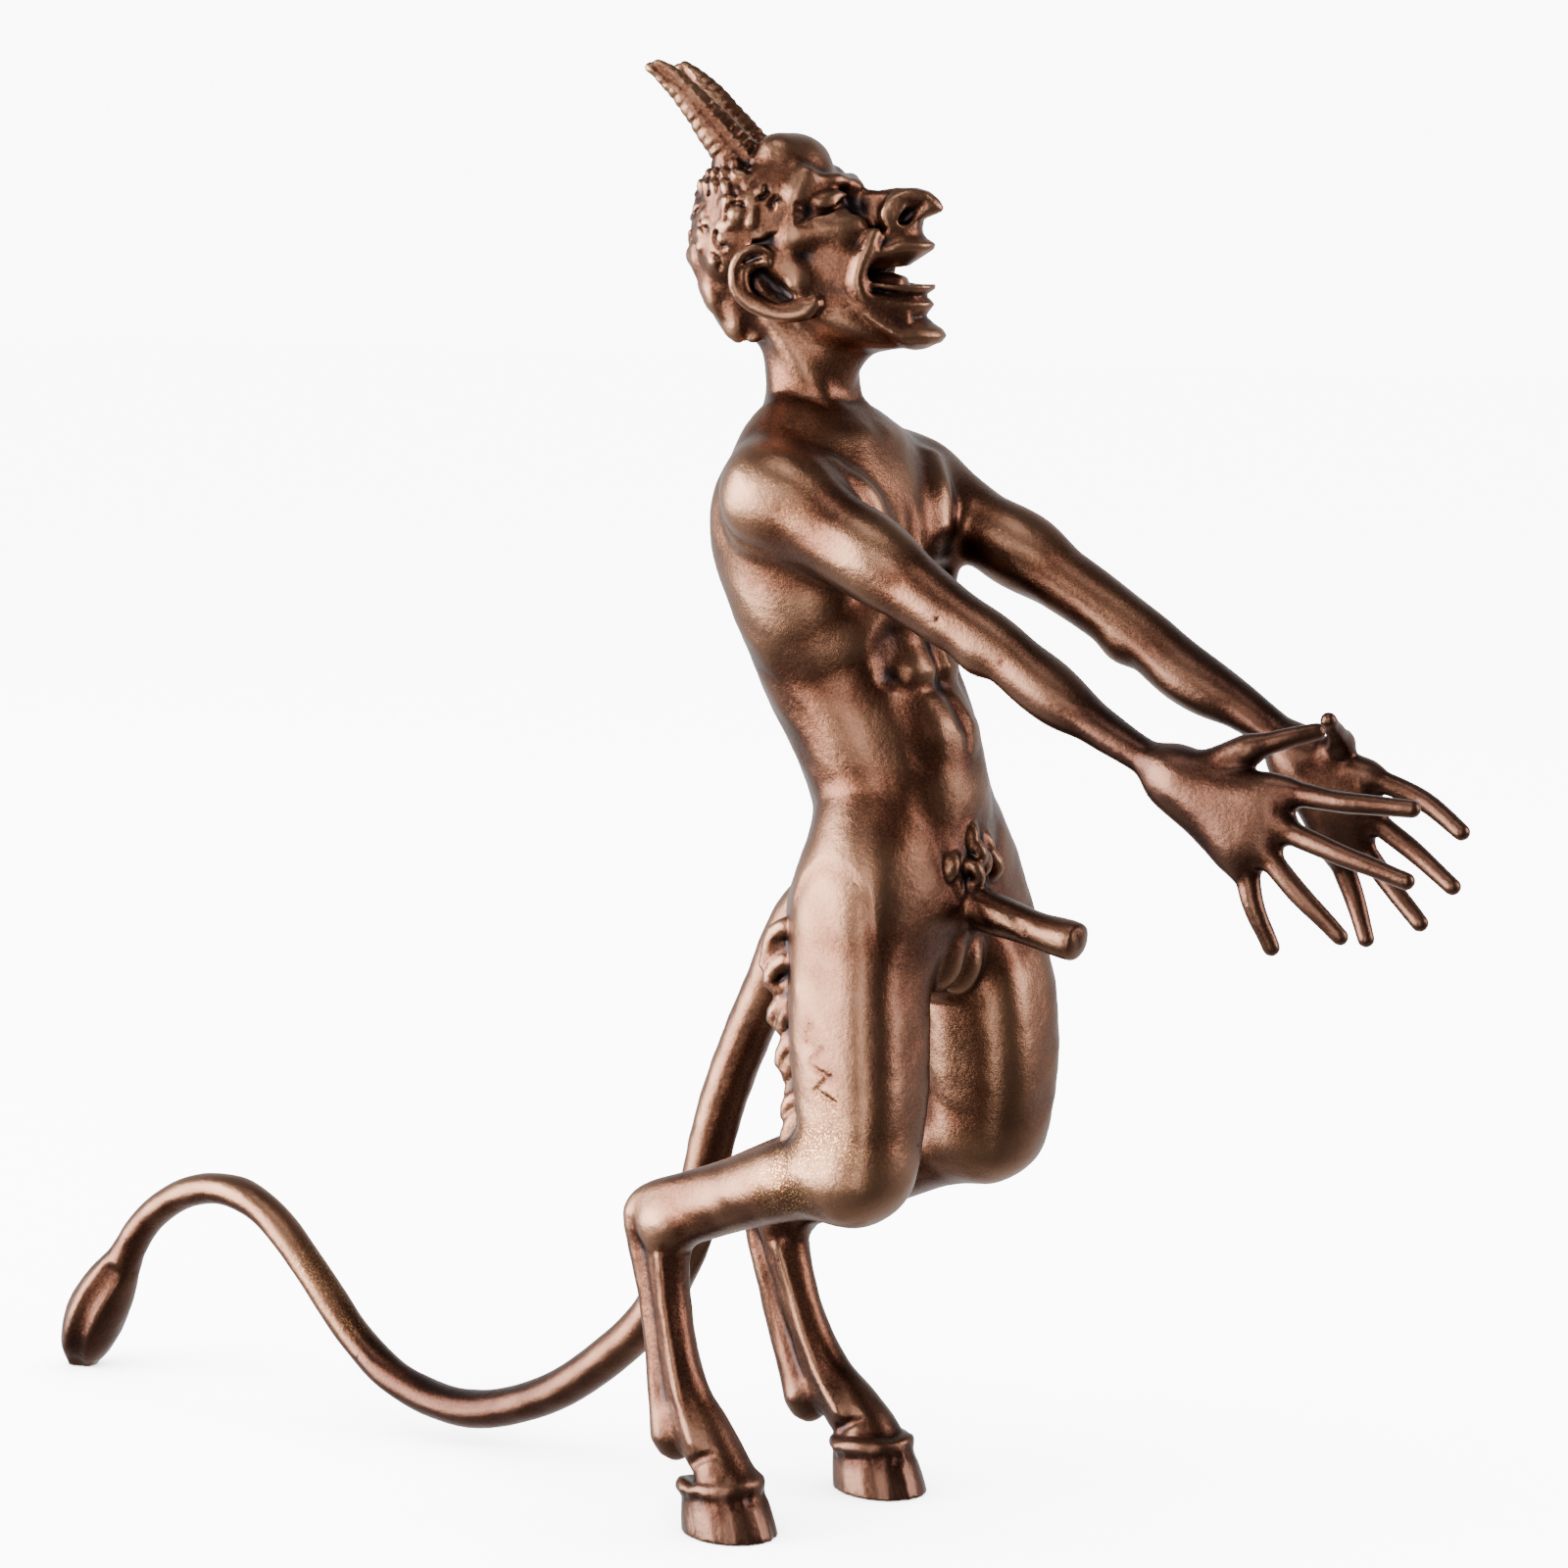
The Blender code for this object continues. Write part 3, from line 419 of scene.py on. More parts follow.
def model_torso(wax):
    wax.add(limb(TORSO, 0, steps=6), 1)
    for side in (-1, 1):
        for centre, radii, pitch, blend in (
                ((15.4, 9.2, 102.4), (11, 9.2, 10.4), 0, 5),  # buttock
                ((13.6, 9, 164.4), (7, 8.8, 6.4), -8, 3),  # breast muscle
                ((-4, 9.6, 164), (5.4, 8, 11), -6, 4),  # shoulder blade
                ((7.4, 19.6, 170), (7.4, 6.8, 8), 0, 5),  # shoulder cap
                ((8, 15, 156), (10.5, 6, 11), 0, 5)):  # side of the ribs
            wax.add(lump(centre, radii, pitch, side=side), blend)
        for rows, wide, blend in (
                ([(0, 2.5, 188, 3, 3.2), (0.2, 4.4, 183.4, 3.4, 3.8), (1, 10, 178.4, 4, 4.8),
                  (4, 17, 174, 4.4, 5)], LEFT, 4),  # neck into shoulder
                ([(12.4, 2.4, 178.4, 1.4), (10.8, 9, 177.6, 1.1),
                  (8.6, 16, 176.4, 1)], UP, 3.4),  # collar bone
                ([(9.4, 1.8, 179.4, 1.3), (5, 4.6, 187.6, 1.5),
                  (-1.4, 7.2, 198, 2)], UP, 2.4),  # neck muscle
                ([(23.2, 2.2, 153.4, 1.5), (21, 7.6, 151.8, 1.7), (17.6, 12, 148.8, 1.6),
                  (12.6, 15.2, 144.6, 1.4)], LEFT, 4.6),  # arch of the ribs
                ([(21, 3.6, 151, 2, 2.8), (22.2, 3.6, 146, 2.3, 3),
                  (24.6, 3.4, 141.6, 2, 2.8)], LEFT, 4)):  # belly muscle
            wax.add(tube(rows, side, steps=5, wide=wide), blend)
        wax.add(lump((15, 8.4, 145.6), (7.6, 7.4, 7.6), side=side), 4)  # lower ribs
        armpit = [(15, 14, 174.5, 1.6), (18.8, 10.8, 170.5, 1.9), (20.2, 8.6, 165, 1.7)]
        wax.add(tube(armpit, side, steps=5), 4)
    wax.add(lump((21.6, 0, 123), (10.6, 12.6, 9.6)), 5)  # belly
    wax.add(lump((22.6, 0, 131.4), (9.2, 9.8, 6.6)), 3)  # above the navel
    wax.add(lump((23.2, 0, 112), (8.4, 9.4, 8.6)), 4)  # below the belly
    for side in (-1, 1):
        crease = [(15.6, 13.8, 141.6), (22.4, 9.6, 140.6), (26.8, 4.2, 139.8), (27.6, 0, 140)]
        wax.score(crease, 0.6, 2.6, side)
        wax.groove(lump((21.8, 8, 145.6), (1, 2.2, 2.4), side=side), 0.9, 4)
        wax.score([(26, 8.4, 137), (28.6, 8.2, 130), (28.6, 8.8, 121), (28.6, 7.2, 112)], 0.5, 4, side)
        wax.score([(32.4, 4, 107), (31.4, 7, 110.6), (29.8, 9.4, 114)], 0.5, 3, side)
        wax.groove(lump((26, 12, 159.6), (0.4, 0.4, 0.4), side=side), -0.5, 1)
        wax.score([(21.6, 4.6, 157.2), (19.4, 10.4, 156.2), (14.4, 15.4, 158.4)], 0.8, 2.6, side)
    wax.score([(22, 0, 172), (23, 0, 162), (24.2, 0, 152), (27, 0, 142), (31.6, 0, 133.6)], 0.8, 2.2)
    wax.score([(32.8, 0, 133), (33.2, 0, 129.6)], 1.2, 1.3)  # navel
    spine = [(-8.4, 0, 186), (-9.8, 0, 176), (-12.4, 0, 166), (-11, 0, 154), (-6.4, 0, 143), (2, 0, 129),
             (5.6, 0, 118)]
    wax.score(spine, 1, 3.4, radius=0.4)
    wax.score([(7.4, 0, 110), (5, 0, 104), (8.4, 0, 96)], 2.2, 3, radius=0.4)
    for x, y, z, tilt in ((30.4, -3, 114, 1.2), (32.2, 0.4, 115.4, -0.8), (31.4, 3.6, 113.4, 0.9),
                          (33.4, -0.8, 112.6, 0.6), (32, -4.6, 111, -1.1), (33, 2.6, 110.8, -0.6),
                          (33.8, -2.4, 109.6, 0.8), (32.4, 4.8, 110, 1), (31.2, -5.6, 107.6, 0.7)):
        wax.add(tube([(x - 1.6, y, z + 1.7, 1), (x + 0.8, y + 0.9 * tilt, z + 0.9, 1.4),
                      (x + 1.3, y + 1.6 * tilt, z - 0.9, 1.1), (x + 0.2, y + 0.7 * tilt, z - 2, 0.8)]), 0.8)


def model_sex(wax):
    wax.add(tube([(24, 0, 106, 5, 5), (31, 0, 104.3, 4.1, 4.2), (38, 0, 102.8, 3.3, 3.5),
                  (46.2, 0, 101, 3, 3.2), (51.6, 0, 100.1, 3.2, 3.4), (53, 0, 99.8, 3.1, 3.3)],
                 steps=5, cap=1.1), 1.6)
    wax.score([(54.4, -1.6, 101.4), (54.6, -0.6, 99.4)], 0.4, 0.8)
    for x, out in ((36.5, 3.6), (43, 3.2)):
        wax.score([(x, -out, 104), (x + 2, -out, 101)], 0.2, 1.1, radius=0.2)
    wax.add(lump((28.6, -2.4, 96), (4.2, 3.4, 6.4), pitch=10), 1.4)
    wax.add(lump((29, 2.6, 94.8), (4, 3.2, 6.4), pitch=6), 1)


def model_hand(wax, fingers, wrist, side):
    """Fingers in a fan, joined by a thin palm and by webs between their roots."""
    rows = {name: [(x, side * y, z, radius) for (x, y, z), radius in zip(path, FINGER_RADII)]
            for name, path in fingers.items()}
    names = ("index", "middle", "ring", "little")
    start = (wrist[0], side * wrist[1], wrist[2])
    palm = []
    for name in names:
        root, knuckle = rows[name][:2]
        palm += tube([(*start, 2.8), (*root[:3], 2.4), (*knuckle[:3], 2)])
    for one, two in zip(names, names[1:]):
        half = [(a + b) / 2 for a, b in zip(rows[one][1][:3], rows[two][1][:3])]
        root = [(a + b) / 2 for a, b in zip(rows[one][0][:3], rows[two][0][:3])]
        web = [r + (h - r) * 0.7 for h, r in zip(half, root)]
        palm += tube([(*start, 2.6), (*root, 2.2), (*web, 1.5)])
    wax.add(palm, 2, inner=3.4)
    for path in rows.values():
        wax.add(tube(path, steps=5), 1.2)
    thumb = rows["thumb"]
    wax.add(tube([(*start, 2.6), (*thumb[0][:3], 2.5), (*thumb[1][:3], 2.1)]), 2.2)
    x, y, z = wrist
    wax.score([(x + 4, y - 3, z - 1.5), (x + 11, y - 2.6, z - 3.5)], 0.5, 2.4, side)


def model_arms(wax):
    wax.add(limb(ARM_RIGHT, -ARM_OUT, steps=6), 4)
    wax.add(limb(ARM_LEFT, ARM_OUT, steps=6), 4)
    for side, rows in ((-1, ARM_RIGHT), (1, ARM_LEFT)):
        x, z = rows[5][:2]
        wax.add(lump((x - 3.4, ARM_OUT, z - 0.6), (3, 3.4, 3.2), side=side), 3)  # point of the elbow
        wax.add(lump((x + 9, ARM_OUT - 0.4, z - 6.2), (8, 4.2, 3.8), pitch=29, side=side), 3)
        wax.add(lump((x - 24, ARM_OUT + 0.2, z + 13.4), (9, 5.8, 6), pitch=27, side=side), 3)
    model_hand(wax, HAND_RIGHT, (83, 20, 131), -1)
    model_hand(wax, HAND_LEFT, (81.6, 20, 130), 1)


def hoof_shape(x, side):
    """A hoof that flares down to a flat sole, a little broader at the toe."""
    middle = side * FOOT_OUT

    def distance(grids):
        gx, gy, gz = grids
        high = np.clip(gz / np.float32(HOOF_HIGH), -0.2, 1)
        flare = 1.0 - 0.20 * high + 0.03 * np.sin(high * np.float32(math.pi))
        ahead = (gx - np.float32(x) + np.float32(1.5) * high) / (np.float32(HOOF_LONG) * flare)
        half_wide = np.float32(HOOF_WIDE) * flare * (1 + 0.13 * np.clip(ahead, -1, 1))
        aside = (gy - np.float32(middle)) / half_wide
        round_off = (np.sqrt(ahead * ahead + aside * aside) - 1) * np.float32(HOOF_WIDE)
        return np.maximum(round_off, gz - np.float32(HOOF_HIGH) - 0.08 * (gx - np.float32(x)))

    reach = HOOF_LONG + 3
    return Shape((x - reach, middle - 9, -3), (x + reach, middle + 9, HOOF_HIGH + 2), distance)


def model_hoof(wax, x, side, noise):
    middle = side * FOOT_OUT
    wax.add(hoof_shape(x, side), 1)
    rim = []
    for k in range(17):
        turn = 2 * math.pi * (k % 16) / 16
        ahead = math.cos(turn)
        jog = noise.uniform(-0.25, 0.25, 2) if 0 < k < 16 else (0, 0)
        rim.append((x - 1.7 + 6.6 * ahead, middle + 5.5 * math.sin(turn),
                    HOOF_HIGH - 0.4 + 0.8 * ahead + 1.6 * jog[0], 0.85 + 1.3 * jog[1]))
    wax.add(tube(rim, wide=UP), 1.6)
    for k in range(16):  # ragged edge below the rim
        turn = 2 * math.pi * (k + noise.uniform(-0.3, 0.3)) / 16
        point = (x - 1.6 + 7.7 * math.cos(turn), middle + 6.3 * math.sin(turn),
                 HOOF_HIGH - 1.9 + noise.uniform(-0.4, 0.4))
        wax.groove(lump(point, (0.3, 0.3, 0.5)), noise.uniform(0.15, 0.35), 1.1)
    for k in range(20):  # growth of the wall
        turn = 2 * math.pi * (k + noise.uniform(-0.3, 0.3)) / 20
        top = (x - 1.0 + 7.4 * math.cos(turn), middle + 6.0 * math.sin(turn), 5.4)
        foot = (x + 8.4 * math.cos(turn), middle + 6.7 * math.sin(turn), 0.4)
        wax.groove(tube([(*foot, 0.2), (*top, 0.2)], steps=2), noise.uniform(-0.12, 0.16), 0.9)


def model_leg(wax, thigh, shank, cannon, tendon, hoof_x, side, noise):
    foot = side * FOOT_OUT
    wax.add(lump((thigh[0][0] - 0.6, HIP_OUT - 1.4, 107.5), (9.8, 8.6, 13.5), side=side), 6)
    wax.add(limb(thigh, side * HIP_OUT, side * KNEE_OUT, steps=6, boxy=THIGH_BOXY), 6)
    x, z = thigh[-1][:2]
    wax.add(lump((x + 2.6, KNEE_OUT, z + 0.8), (7.2, 7.2, 7.4), side=side), 3)
    wax.add(limb(shank, side * KNEE_OUT, foot, steps=6), 3)
    wax.add(limb(cannon, foot, steps=6), 2.6)
    near, hock = shank[3], tendon[0]
    heel = [(near[0], near[1] + 2.6, 2.6, 3.4),
            ((near[0] + hock[0]) / 2 - 1, (near[1] + hock[1]) / 2 + 2.6, 2.4, 3),
            (hock[0] + 0.9, hock[1] + 2, 2.5, 2.8), (hock[0] - 0.2, hock[1] - 1.6, 2.4, 2.5)]
    wax.add(limb(heel, foot, steps=5), 1.8)  # heel string to the hock
    wax.add(limb(tendon, foot, steps=5), 1.4)
    web = [((bone[0] - bone[2] + cord[0]) / 2 + 0.8, (bone[1] + cord[1]) / 2,
            abs(bone[0] - cord[0]) / 2 + 0.4, 2.5) for bone, cord in zip(cannon, tendon)]
    wax.add(limb(web, foot, steps=4), 2.4)  # plate between bone and tendon
    wax.add(lump((hock[0] + 6.4, side * (FOOT_OUT + 1), hock[1] - 0.6), (4.6, 3.6, 4)), 2.4)
    x, z = tendon[-1][:2]
    dewclaw = [(x + 1.2, z + 5.6, 2.6, 2), (x + 0.8, z + 1, 3.3, 3), (x + 1.2, z - 2.2, 2.9, 2.6)]
    wax.add(limb(dewclaw, foot), 1.6)
    wax.groove(lump((x - 0.2, foot, z - 4.4), (0.5, 0.8, 0.6)), 0.8, 1.2)
    for out in (-1, 1):
        ridge = [(x + 0.6, foot + out * (wide - 0.1), z) for x, z, deep, wide in cannon[1:6]]
        wax.score(ridge, -0.5, 1.4)
        hollow = [(x - 0.9 * deep - 0.6, foot + out * 2.2, z) for x, z, deep, wide in cannon[0:5]]
        wax.score(hollow, 0.35, 1.7)
    x, z = cannon[6][:2]
    for out in (-1, 1):
        wax.score([(x - 2.4, foot + out * 4.6, z + 0.6), (x + 1.4, foot + out * 4.4, z + 2.6)], 0.7, 1)
    model_hoof(wax, hoof_x, side, noise)


def model_fur(wax, noise):
    """Tufts down the back of each thigh: short curled locks over one another."""
    for side, thigh, top in ((-1, THIGH_RIGHT, 97.5), (1, THIGH_LEFT, 95)):
        for i in range(FUR_ROWS):
            share = i / (FUR_ROWS - 1)
            z = top - (top - 66) * share + noise.uniform(-0.5, 0.5)
            row = min(thigh, key=lambda r: abs(r[1] - z))
            back = FUR_TOP_X + (FUR_LOW_X - FUR_TOP_X) * share + (row[0] - thigh[3][0]) * 0.5
            back += noise.uniform(-0.7, 0.9) + 1.6 * max(0, 0.12 - share) / 0.12
            wax.add(lump((back + 3.4, 15, z), (2.6, 4.4, 2.4), side=side), 2.4)
            for out in (11.4, 14.2, 16.8, 19.4):
                jog = noise.uniform(-1, 1, 6)
                size = 1.15 + 0.35 * jog[5]
                x0 = back + 0.045 * (out - 14.5) ** 2 + 0.5 * jog[0]
                y0 = side * (out + 0.8 * jog[1])
                z0 = z + 1.2 * jog[2]
                wax.add(tube([(x0 + 2.6, y0, z0 + 2.2 * size, 1.3 * size),
                              (x0 + 0.6, y0 + 0.5 * jog[3], z0 + 1.3 * size, 1.3 * size),
                              (x0 - 0.6, y0 + 0.9 * jog[3], z0 - 0.5 * size, 1.0 * size),
                              (x0 + 0.7, y0 + 1.2 * jog[3], z0 - 1.8 * size, 0.55 * size)], steps=2), 0.6)


def model_tail(wax):
    wax.add(tube([(x, 0, z, radius, radius * TAIL_BREADTH) for x, z, radius in TAIL], steps=5), 4)
    near_side = [(-157, -3.4, 19), (-161, -5.2, 12.4), (-164.4, -4.6, 5.6), (-166.6, -2.6, 1.4)]
    wax.score(near_side, 0.9, 2.4)
    wax.score([(-157, 3.4, 19), (-161, 5.2, 12.4), (-164.4, 4.6, 5.6)], 0.6, 2.2)
    wax.score([(-156.4, 0, 24.4), (-162.6, 0, 17), (-168.6, 0, 8)], 0.5, 1.2)


def model_skull(wax):
    for centre, radii, pitch, blend in (
            ((-7, 0, 212.4), (12, 10.8, 13), 0, 2),  # skull
            ((-9.4, 0, 204.2), (9.2, 9, 9), 0, 3),  # back of the head
            ((-5.2, 0, 218.6), (7.8, 9.4, 10.2), 26, 3),  # forehead
            ((1.6, 0, 210), (9, 8.8, 10), -32, 3),  # face
            ((7.2, 0, 196.8), (10.4, 6.2, 4.2), 0, 3),  # under the jaw
            ((3.4, 0, 194.4), (6, 5.4, 4.4), -24, 3)):  # top of the throat
        wax.add(head_lump(centre, radii, pitch), blend)
    wax.carve(head_lump((14.4, 0, 206.2), (7.6, 8.6, 4.6)), 1)  # room for the mouth
    for side in (-1, 1):
        jaw = [(18, 1.4, 196, 1.9, 2.2), (13, 4.4, 196.6, 2.4, 2.4), (8, 6.6, 198.2, 3.2, 2.6),
               (3, 7.6, 200.8, 3.6, 2.6), (0.6, 8, 205, 3.4, 2.4)]
        brow = [(6.6, 1, 219.7, 1), (5.2, 4, 220.7, 1.25), (2.6, 6.8, 220.2, 0.9),
                (0.4, 8.6, 218.4, 0.6)]
        temple = [(1, 7.8, 221.6, 0.9), (-0.4, 9, 217.8, 1), (-0.8, 9.5, 213.6, 0.8)]
        wax.add(head_tube(jaw, side), 3)
        wax.add(head_lump((-4.6, 4, 225.4), (3.2, 3.2, 2.4), 30, side=side), 2.4)
        wax.add(head_tube(brow, side), 2.8)
        wax.add(head_tube(temple, side), 3.6)


def model_face(wax):
    upper_jaw = [(6, 215.5), (17.6, 214.6), (18, 212.7), (19, 211.4), (20.5, 210.5), (20.2, 209.6),
                 (18.2, 208.3), (15.9, 206.9), (13.4, 207.8), (11, 208.6), (6, 208.8)]
    lower_jaw = [(6, 203.2), (10.5, 203.2), (13, 203.9), (15.6, 204.2), (17, 203.3), (18.6, 203.5),
                 (20.3, 204.1), (20.5, 203.3), (18.9, 202.2), (19.7, 201.5), (20.4, 200.8), (19.8, 199.9),
                 (18.9, 198.8), (19.8, 197.7), (21.6, 196.9), (22.4, 195.7), (21.4, 194.5), (19, 193.8),
                 (6, 192.8)]
    nose = [(2, 221.6), (5.2, 221.2), (8.3, 219.3), (11, 219.1), (14.5, 219.6), (17, 219.6),
            (19.6, 218.9), (21.2, 217.7), (22.2, 216.3), (21.6, 215.6), (18.2, 214.4), (17.6, 213),
            (12, 212.4), (6, 212.6), (2, 214)]
    nose_widths = [(2, 3.6), (8.3, 2.1), (11, 2.3), (14.5, 3.3), (17, 3), (19.6, 2.1), (22.4, 1)]
    wax.add([arch(upper_jaw), arch(lower_jaw)], 0.8)
    wax.add(plate(nose, nose_widths, 1.5), 1.4)
    for side in (-1, 1):
        cheek = [(6.4, 4.8, 211.6, 3.6, 3.2), (6, 5.8, 208.4, 4, 3), (6.4, 6, 205, 3.8, 2.8),
                 (7.6, 5.6, 201.8, 3.2, 2.6)]
        laughing_fold = [(12.6, 4.6, 213, 0.8), (12, 6.2, 211.8, 1.1), (11.3, 7.2, 209.6, 1.3),
                         (10.3, 7.8, 207, 1.35), (9.9, 7.9, 204.4, 1.35), (10.7, 7.4, 202, 1.25),
                         (13, 6.2, 200.2, 1.1), (16.4, 4.2, 198.9, 0.9)]
        cheek_bone = [(8.2, 5.6, 213.4, 1.5), (4.4, 7.8, 212.8, 1.6), (-0.6, 9.4, 211.2, 1.3)]
        wax.add(head_tube(cheek, side), 2.4)
        wax.add(head_tube(laughing_fold, side), 1.6)
        wax.add(head_tube(cheek_bone, side), 3)
        wax.carve(head_lump((8.2, 4, 217.8), (1.9, 2, 1.9), side=side), 2.4)  # eye socket
        wax.add(head_lump((3.7, 6, 216.8), (2.3, 2.6, 1.9), yaw=35, side=side), 1.8)
        upper_lid = [(6.6, 4.4, 218.2, 0.4), (5.4, 6.2, 218.3, 0.5), (3.4, 8, 217.2, 0.4)]
        wax.add(head_tube(upper_lid, side), 1.4)
        closed_eye = [(7.2, 4, 217.6), (6.2, 6, 216.6), (4.4, 8, 215.7), (2.6, 9.4, 215.6)]
        wax.score(closed_eye, 0.8, 0.7, side, radius=0.15, place=HEAD)
        lower_lid = [(6.6, 5, 215.4, 0.6), (5.2, 6.9, 214.4, 0.8), (3, 8.6, 214.4, 0.6)]
        wax.add(head_tube(lower_lid, side), 1.4)
        for k in range(3):  # laughter lines
            crow = [(2.8, 9.2, 216.4 - 0.5 * k), (0.4, 10.2, 216.9 - 1.5 * k)]
            wax.score(crow, 0.3, 0.6, side, radius=0.2, place=HEAD)
        wing = [(18.6, 1.6, 218.2, 0.5), (16.4, 2.7, 218.2, 0.7), (14.2, 3.8, 217.2, 0.9),
                (13.2, 4.3, 215.3, 1), (13.9, 3.9, 213.4, 0.8), (15.6, 2.8, 212.8, 0.6)]
        wax.add(head_lump((14.6, 2.9, 215.4), (2.7, 1.7, 2.5), side=side), 0.9)  # side of the nose
        wax.carve(head_lump((17.3, 3, 215.4), (3, 1.4, 1.1), -38, side=side), 0.8)  # nostril
        wax.add(head_tube(wing, side), 1.1)
        behind_wing = [(12.2, 4.2, 217.4), (11.7, 5, 214.8), (12.8, 4.8, 212.8)]
        wax.score(behind_wing, 0.7, 1.3, side, radius=0.2, place=HEAD)
    tongue = [(8.5, 0, 204.2, 1.3, 4.4), (12.4, 0, 204.6, 1.3, 3.8), (15, 0, 204.5, 0.9, 2.6)]
    wax.add(head_tube(tongue), 0.6)


def model_ear(wax, side):
    rim = [(-3.6, 10.8, 208.2, 0.6), (-5.4, 12, 209.8, 0.8), (-7.8, 13.2, 209.2, 0.85),
           (-9.3, 13.8, 206.6, 0.85), (-9.1, 13.6, 203.4, 0.85), (-7.2, 13, 200.9, 0.9),
           (-4.2, 12.4, 199.5, 0.95), (-0.8, 11.8, 199, 1.1), (2, 11, 199.6, 1.3), (3.4, 10.4, 201, 1.1)]
    bed = [(-4.6, 11.6, 207.4, 1, 1.4), (-7.6, 12.4, 206.2, 1, 1.6), (-7.6, 12.2, 203, 1, 1.6),
           (-5, 11.6, 201, 1, 1.5), (-1.6, 11, 200.2, 1, 1.4), (1.4, 10.4, 200.8, 1, 1.4)]
    wax.add(head_lump((-3.2, 10.2, 204.6), (5.4, 1.6, 4.8), 42, side=side), 1.6)
    wax.add(head_tube(bed, side), 0.8)
    wax.carve(head_lump((-3, 13.6, 204), (3.6, 2.7, 2.2), 42, side=side), 0.9)
    wax.carve(head_lump((-5.4, 13.8, 206.2), (1.8, 1.7, 2.2), side=side), 0.9)
    inner = [(-5.2, 11.6, 205.4, 0.3), (-3.2, 11.2, 203.6, 0.4), (-1, 10.8, 202.4, 0.3)]
    wax.groove(head_tube(inner, side), 0.9, 1.2)
    wax.add(head_tube(rim, side), 0.9)
    wax.add(head_lump((0.1, 10.4, 204.2), (1.3, 1.2, 1.6), side=side), 0.8)


def model_horn(wax, side):
    """A goat's horn of stacked rings, keeled in front and leaning back."""
    path = [(-8.8, 4.2, 221, 3.6, 3), (-14.2, 4.8, 227.3, 3.1, 2.5), (-19.2, 5.6, 233.4, 2.4, 1.9),
            (-22.8, 6.2, 237.2, 1.8, 1.5), (-25.4, 6.8, 239.3, 1.2, 1.1)]
    path = mirrored(path, side)
    ringed = []
    keel = []
    travel = 0.0
    last = None
    for x, y, z, deep, wide in along(path, 22):
        point = Vector((x, y, z))
        travel += (point - last).length if last else 0.0
        last = point
        tooth = (travel / RING_STEP) % 1.0
        swell = 1.02 - 0.14 * tooth ** 4
        ringed.append((x, y, z, deep * swell, wide * swell))
        keel.append((x + 0.62 * deep, y, z + 0.54 * deep, 0.34 * deep * (1.2 - 0.35 * tooth ** 3)))
    wax.add(head_tube(ringed, steps=1, cap=0.35, boxy=2.6), 0.4)
    wax.add(head_tube(keel, steps=1, cap=0.35), 0.3)
    flank = [(x + 0.3 * deep, y + side * 0.99 * wide, z + 0.27 * deep, 0.2)
             for x, y, z, deep, wide in along(path, 3)]
    wax.groove(head_tube(flank, steps=1), 0.4, 0.8)
    wax.groove(head_lump((-23.6, 6.4, 238), (0.3, 2.4, 1.6), -45, side=side), 0.4, 0.6)
    wax.add(head_lump((-25.9, 6.8, 239), (0.9, 0.9, 0.9), side=side), 0.4)


def hair_cap():
    """A thick cap behind the hairline, which runs from the horns over the temples to the ears."""
    heights = [196, 206, 211.5, 214, 218, 222, 226, 230]
    hairline = [-14, -9, -5.4, -1.9, -1.2, -3.4, -6, -7]

    def distance(grids):
        ahead, left, up = head_frame(grids)
        middle = [np.float32(m) for m in CAP_CENTRE]
        skull = scaled_distance(ahead - middle[0], left + 0 * up, up - middle[2] + 0 * ahead, CAP_RADII)
        line = np.interp(up, heights, hairline).astype(np.float32)
        line = line + 0.8 * np.sin(up * np.float32(1.9)) + 0.5 * np.sin(up * np.float32(4.1) + left)
        return np.maximum(skull, (ahead - line) * np.float32(0.7))

    return Shape(*head_box((-22, -13, 196), (2, 13, 228)), distance)


def on_cap(out):
    """The point of the hair cap that lies in a direction from its centre."""
    return Vector(CAP_CENTRE) + Vector([o * r for o, r in zip(out, CAP_RADII)])


def model_curls(wax, noise):
    """Snail curls all over the cap, each a ring with a shallow crescent pressed in it."""
    golden = math.pi * (3 - math.sqrt(5))
    for i in range(CURLS):
        up = 1 - 2 * (i + 0.5) / CURLS
        ring = math.sqrt(1 - up * up)
        turn = golden * i + noise.uniform(-0.15, 0.15)
        out = Vector((ring * math.cos(turn), ring * math.sin(turn), up))
        point = on_cap(out)
        line = np.interp(point[2], [205, 211.5, 214, 218, 222, 226], [-10, -5.6, -2.2, -1.6, -3.8, -6.6])
        sizes = noise.uniform(0, 1, 6)
        if point[0] > line or up < -0.62 or up > 0.93:
            continue
        tilt = out.orthogonal().normalized()
        other = out.cross(tilt)
        radius = 1.4 + 1.2 * sizes[0]
        start = 2 * math.pi * sizes[1]
        sweep = math.radians(230 + 110 * sizes[2])
        rows = []
        for k in range(8):
            angle = start + sweep * k / 7
            grow = radius * (1.15 - 0.45 * k / 7)
            spot = point + tilt * (grow * math.cos(angle)) + other * (grow * math.sin(angle)) - out * 0.25
            rows.append((*(spot - out * 0.3), 0.95 - 0.25 * k / 7))
        wax.add(head_tube(rows, steps=2), 0.6)
        wax.add(head_lump(point - out * 0.3, (0.7 * radius,) * 3), 0.8)
        crescent = [(*(Vector(r[:3]) * 0.75 + (point + out * 1) * 0.25), 0.2) for r in rows[2:6]]
        wax.groove(head_tube(crescent, steps=2), 0.25 + 0.35 * sizes[3], 0.7 + 0.3 * sizes[4])


